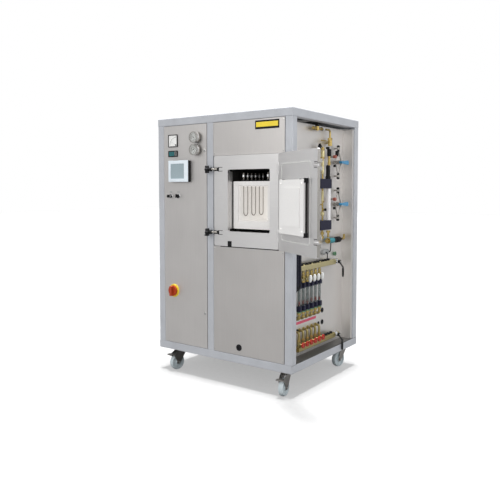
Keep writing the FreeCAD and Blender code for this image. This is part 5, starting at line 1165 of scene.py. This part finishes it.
bpy.ops.mesh.primitive_plane_add(size=60.0, location=(0, 0, low_first.z))
floor = bpy.context.object
floor.name = "floor"
floor_mat, floor_tree, paper = new_material("floor_paper")
grain = noise(floor_tree, (1, 1, 1), 30.0)
floor_tree.links.new(ramp(floor_tree, grain, [(0.3, (0.22, 0.22, 0.22)), (0.7, (0.24, 0.24, 0.24))]),
                     paper.inputs["Base Color"])
paper.inputs["Roughness"].default_value = 0.9
paper.inputs["Specular IOR Level"].default_value = 0.0
paper.inputs["Emission Color"].default_value = (1, 1, 1, 1)
paper.inputs["Emission Strength"].default_value = 0.39
grey = floor_tree.nodes.new("ShaderNodeBsdfDiffuse")
floor_tree.links.new(ramp(floor_tree, grain, [(0.3, (0.15, 0.15, 0.15)), (0.7, (0.16, 0.16, 0.16))]),
                     grey.inputs["Color"])
floor_out = next(n for n in floor_tree.nodes if n.type == "OUTPUT_MATERIAL")
seen_by_camera(floor_tree, grey, paper, floor_out)
floor.data.materials.append(floor_mat)

# Surroundings: a sky that brightens upwards for the cabinet, plain white for the camera

world = bpy.data.worlds.new("world")
bpy.context.scene.world = world
world.use_nodes = True
world_tree = world.node_tree
world_tree.nodes.clear()
world_out = world_tree.nodes.new("ShaderNodeOutputWorld")
plain = world_tree.nodes.new("ShaderNodeBackground")
plain.inputs["Color"].default_value = (1, 1, 1, 1)
plain.inputs["Strength"].default_value = 1.0
sky = world_tree.nodes.new("ShaderNodeBackground")
sky.inputs["Strength"].default_value = 0.74
coords = world_tree.nodes.new("ShaderNodeTexCoord")
split = world_tree.nodes.new("ShaderNodeSeparateXYZ")
world_tree.links.new(coords.outputs["Generated"], split.inputs[0])
height = world_tree.nodes.new("ShaderNodeMapRange")
height.inputs["From Min"].default_value = -1.0
height.inputs["From Max"].default_value = 1.0
world_tree.links.new(split.outputs["Z"], height.inputs["Value"])
world_tree.links.new(ramp(world_tree, height.outputs["Result"], [(0.35, (0.46, 0.455, 0.45)),
                                                                 (0.72, (0.95, 0.96, 0.98))]),
                     sky.inputs["Color"])
seen_by_camera(world_tree, sky, plain, world_out)


# Soft daylight lamps

def lamp(name, kind, place, aim, energy, size=1.0, color=(1, 1, 1)):
    # Size is an area lamp's side in metres, or the sun's angle in radians
    data = bpy.data.lights.new(name, kind)
    data.energy = energy
    data.color = color
    if kind == "AREA":
        data.shape = "RECTANGLE"
        data.size = size
        data.size_y = size
    if kind == "SUN":
        data.angle = size
    obj = bpy.data.objects.new(name, data)
    obj.location = place
    obj.rotation_mode = "QUATERNION"
    obj.rotation_quaternion = (Vector(aim) - Vector(place)).to_track_quat("-Z", "Y")
    bpy.context.scene.collection.objects.link(obj)


lamp("overhead", "SUN", (0, 0, 6), (0.02, 0.02, 0), 8.4, math.radians(10.0))
lamp("key", "AREA", (-1.25, -5.4, 3.2), (0, 0, 1.1), 40.0, 2.6, (1.0, 0.985, 0.96))
lamp("left", "AREA", (-4.6, 0.2, 2.6), (0.6, -0.6, 1.5), 12.0, 3.2)
lamp("side", "AREA", (4.6, -1.2, 3.0), (0.3, 0, 1.2), 8.0, 2.4, (0.97, 0.985, 1.0))
lamp("bay_fill", "AREA", (3.0, 0.4, 2.2), (0.4, 0.1, 1.75), 20.0, 1.4)
lamp("front_fill", "AREA", (1.3, -4.4, 1.5), (0.1, 0, 1.25), 64.0, 4.2)

scene = bpy.context.scene
scene.view_settings.view_transform = "Standard"
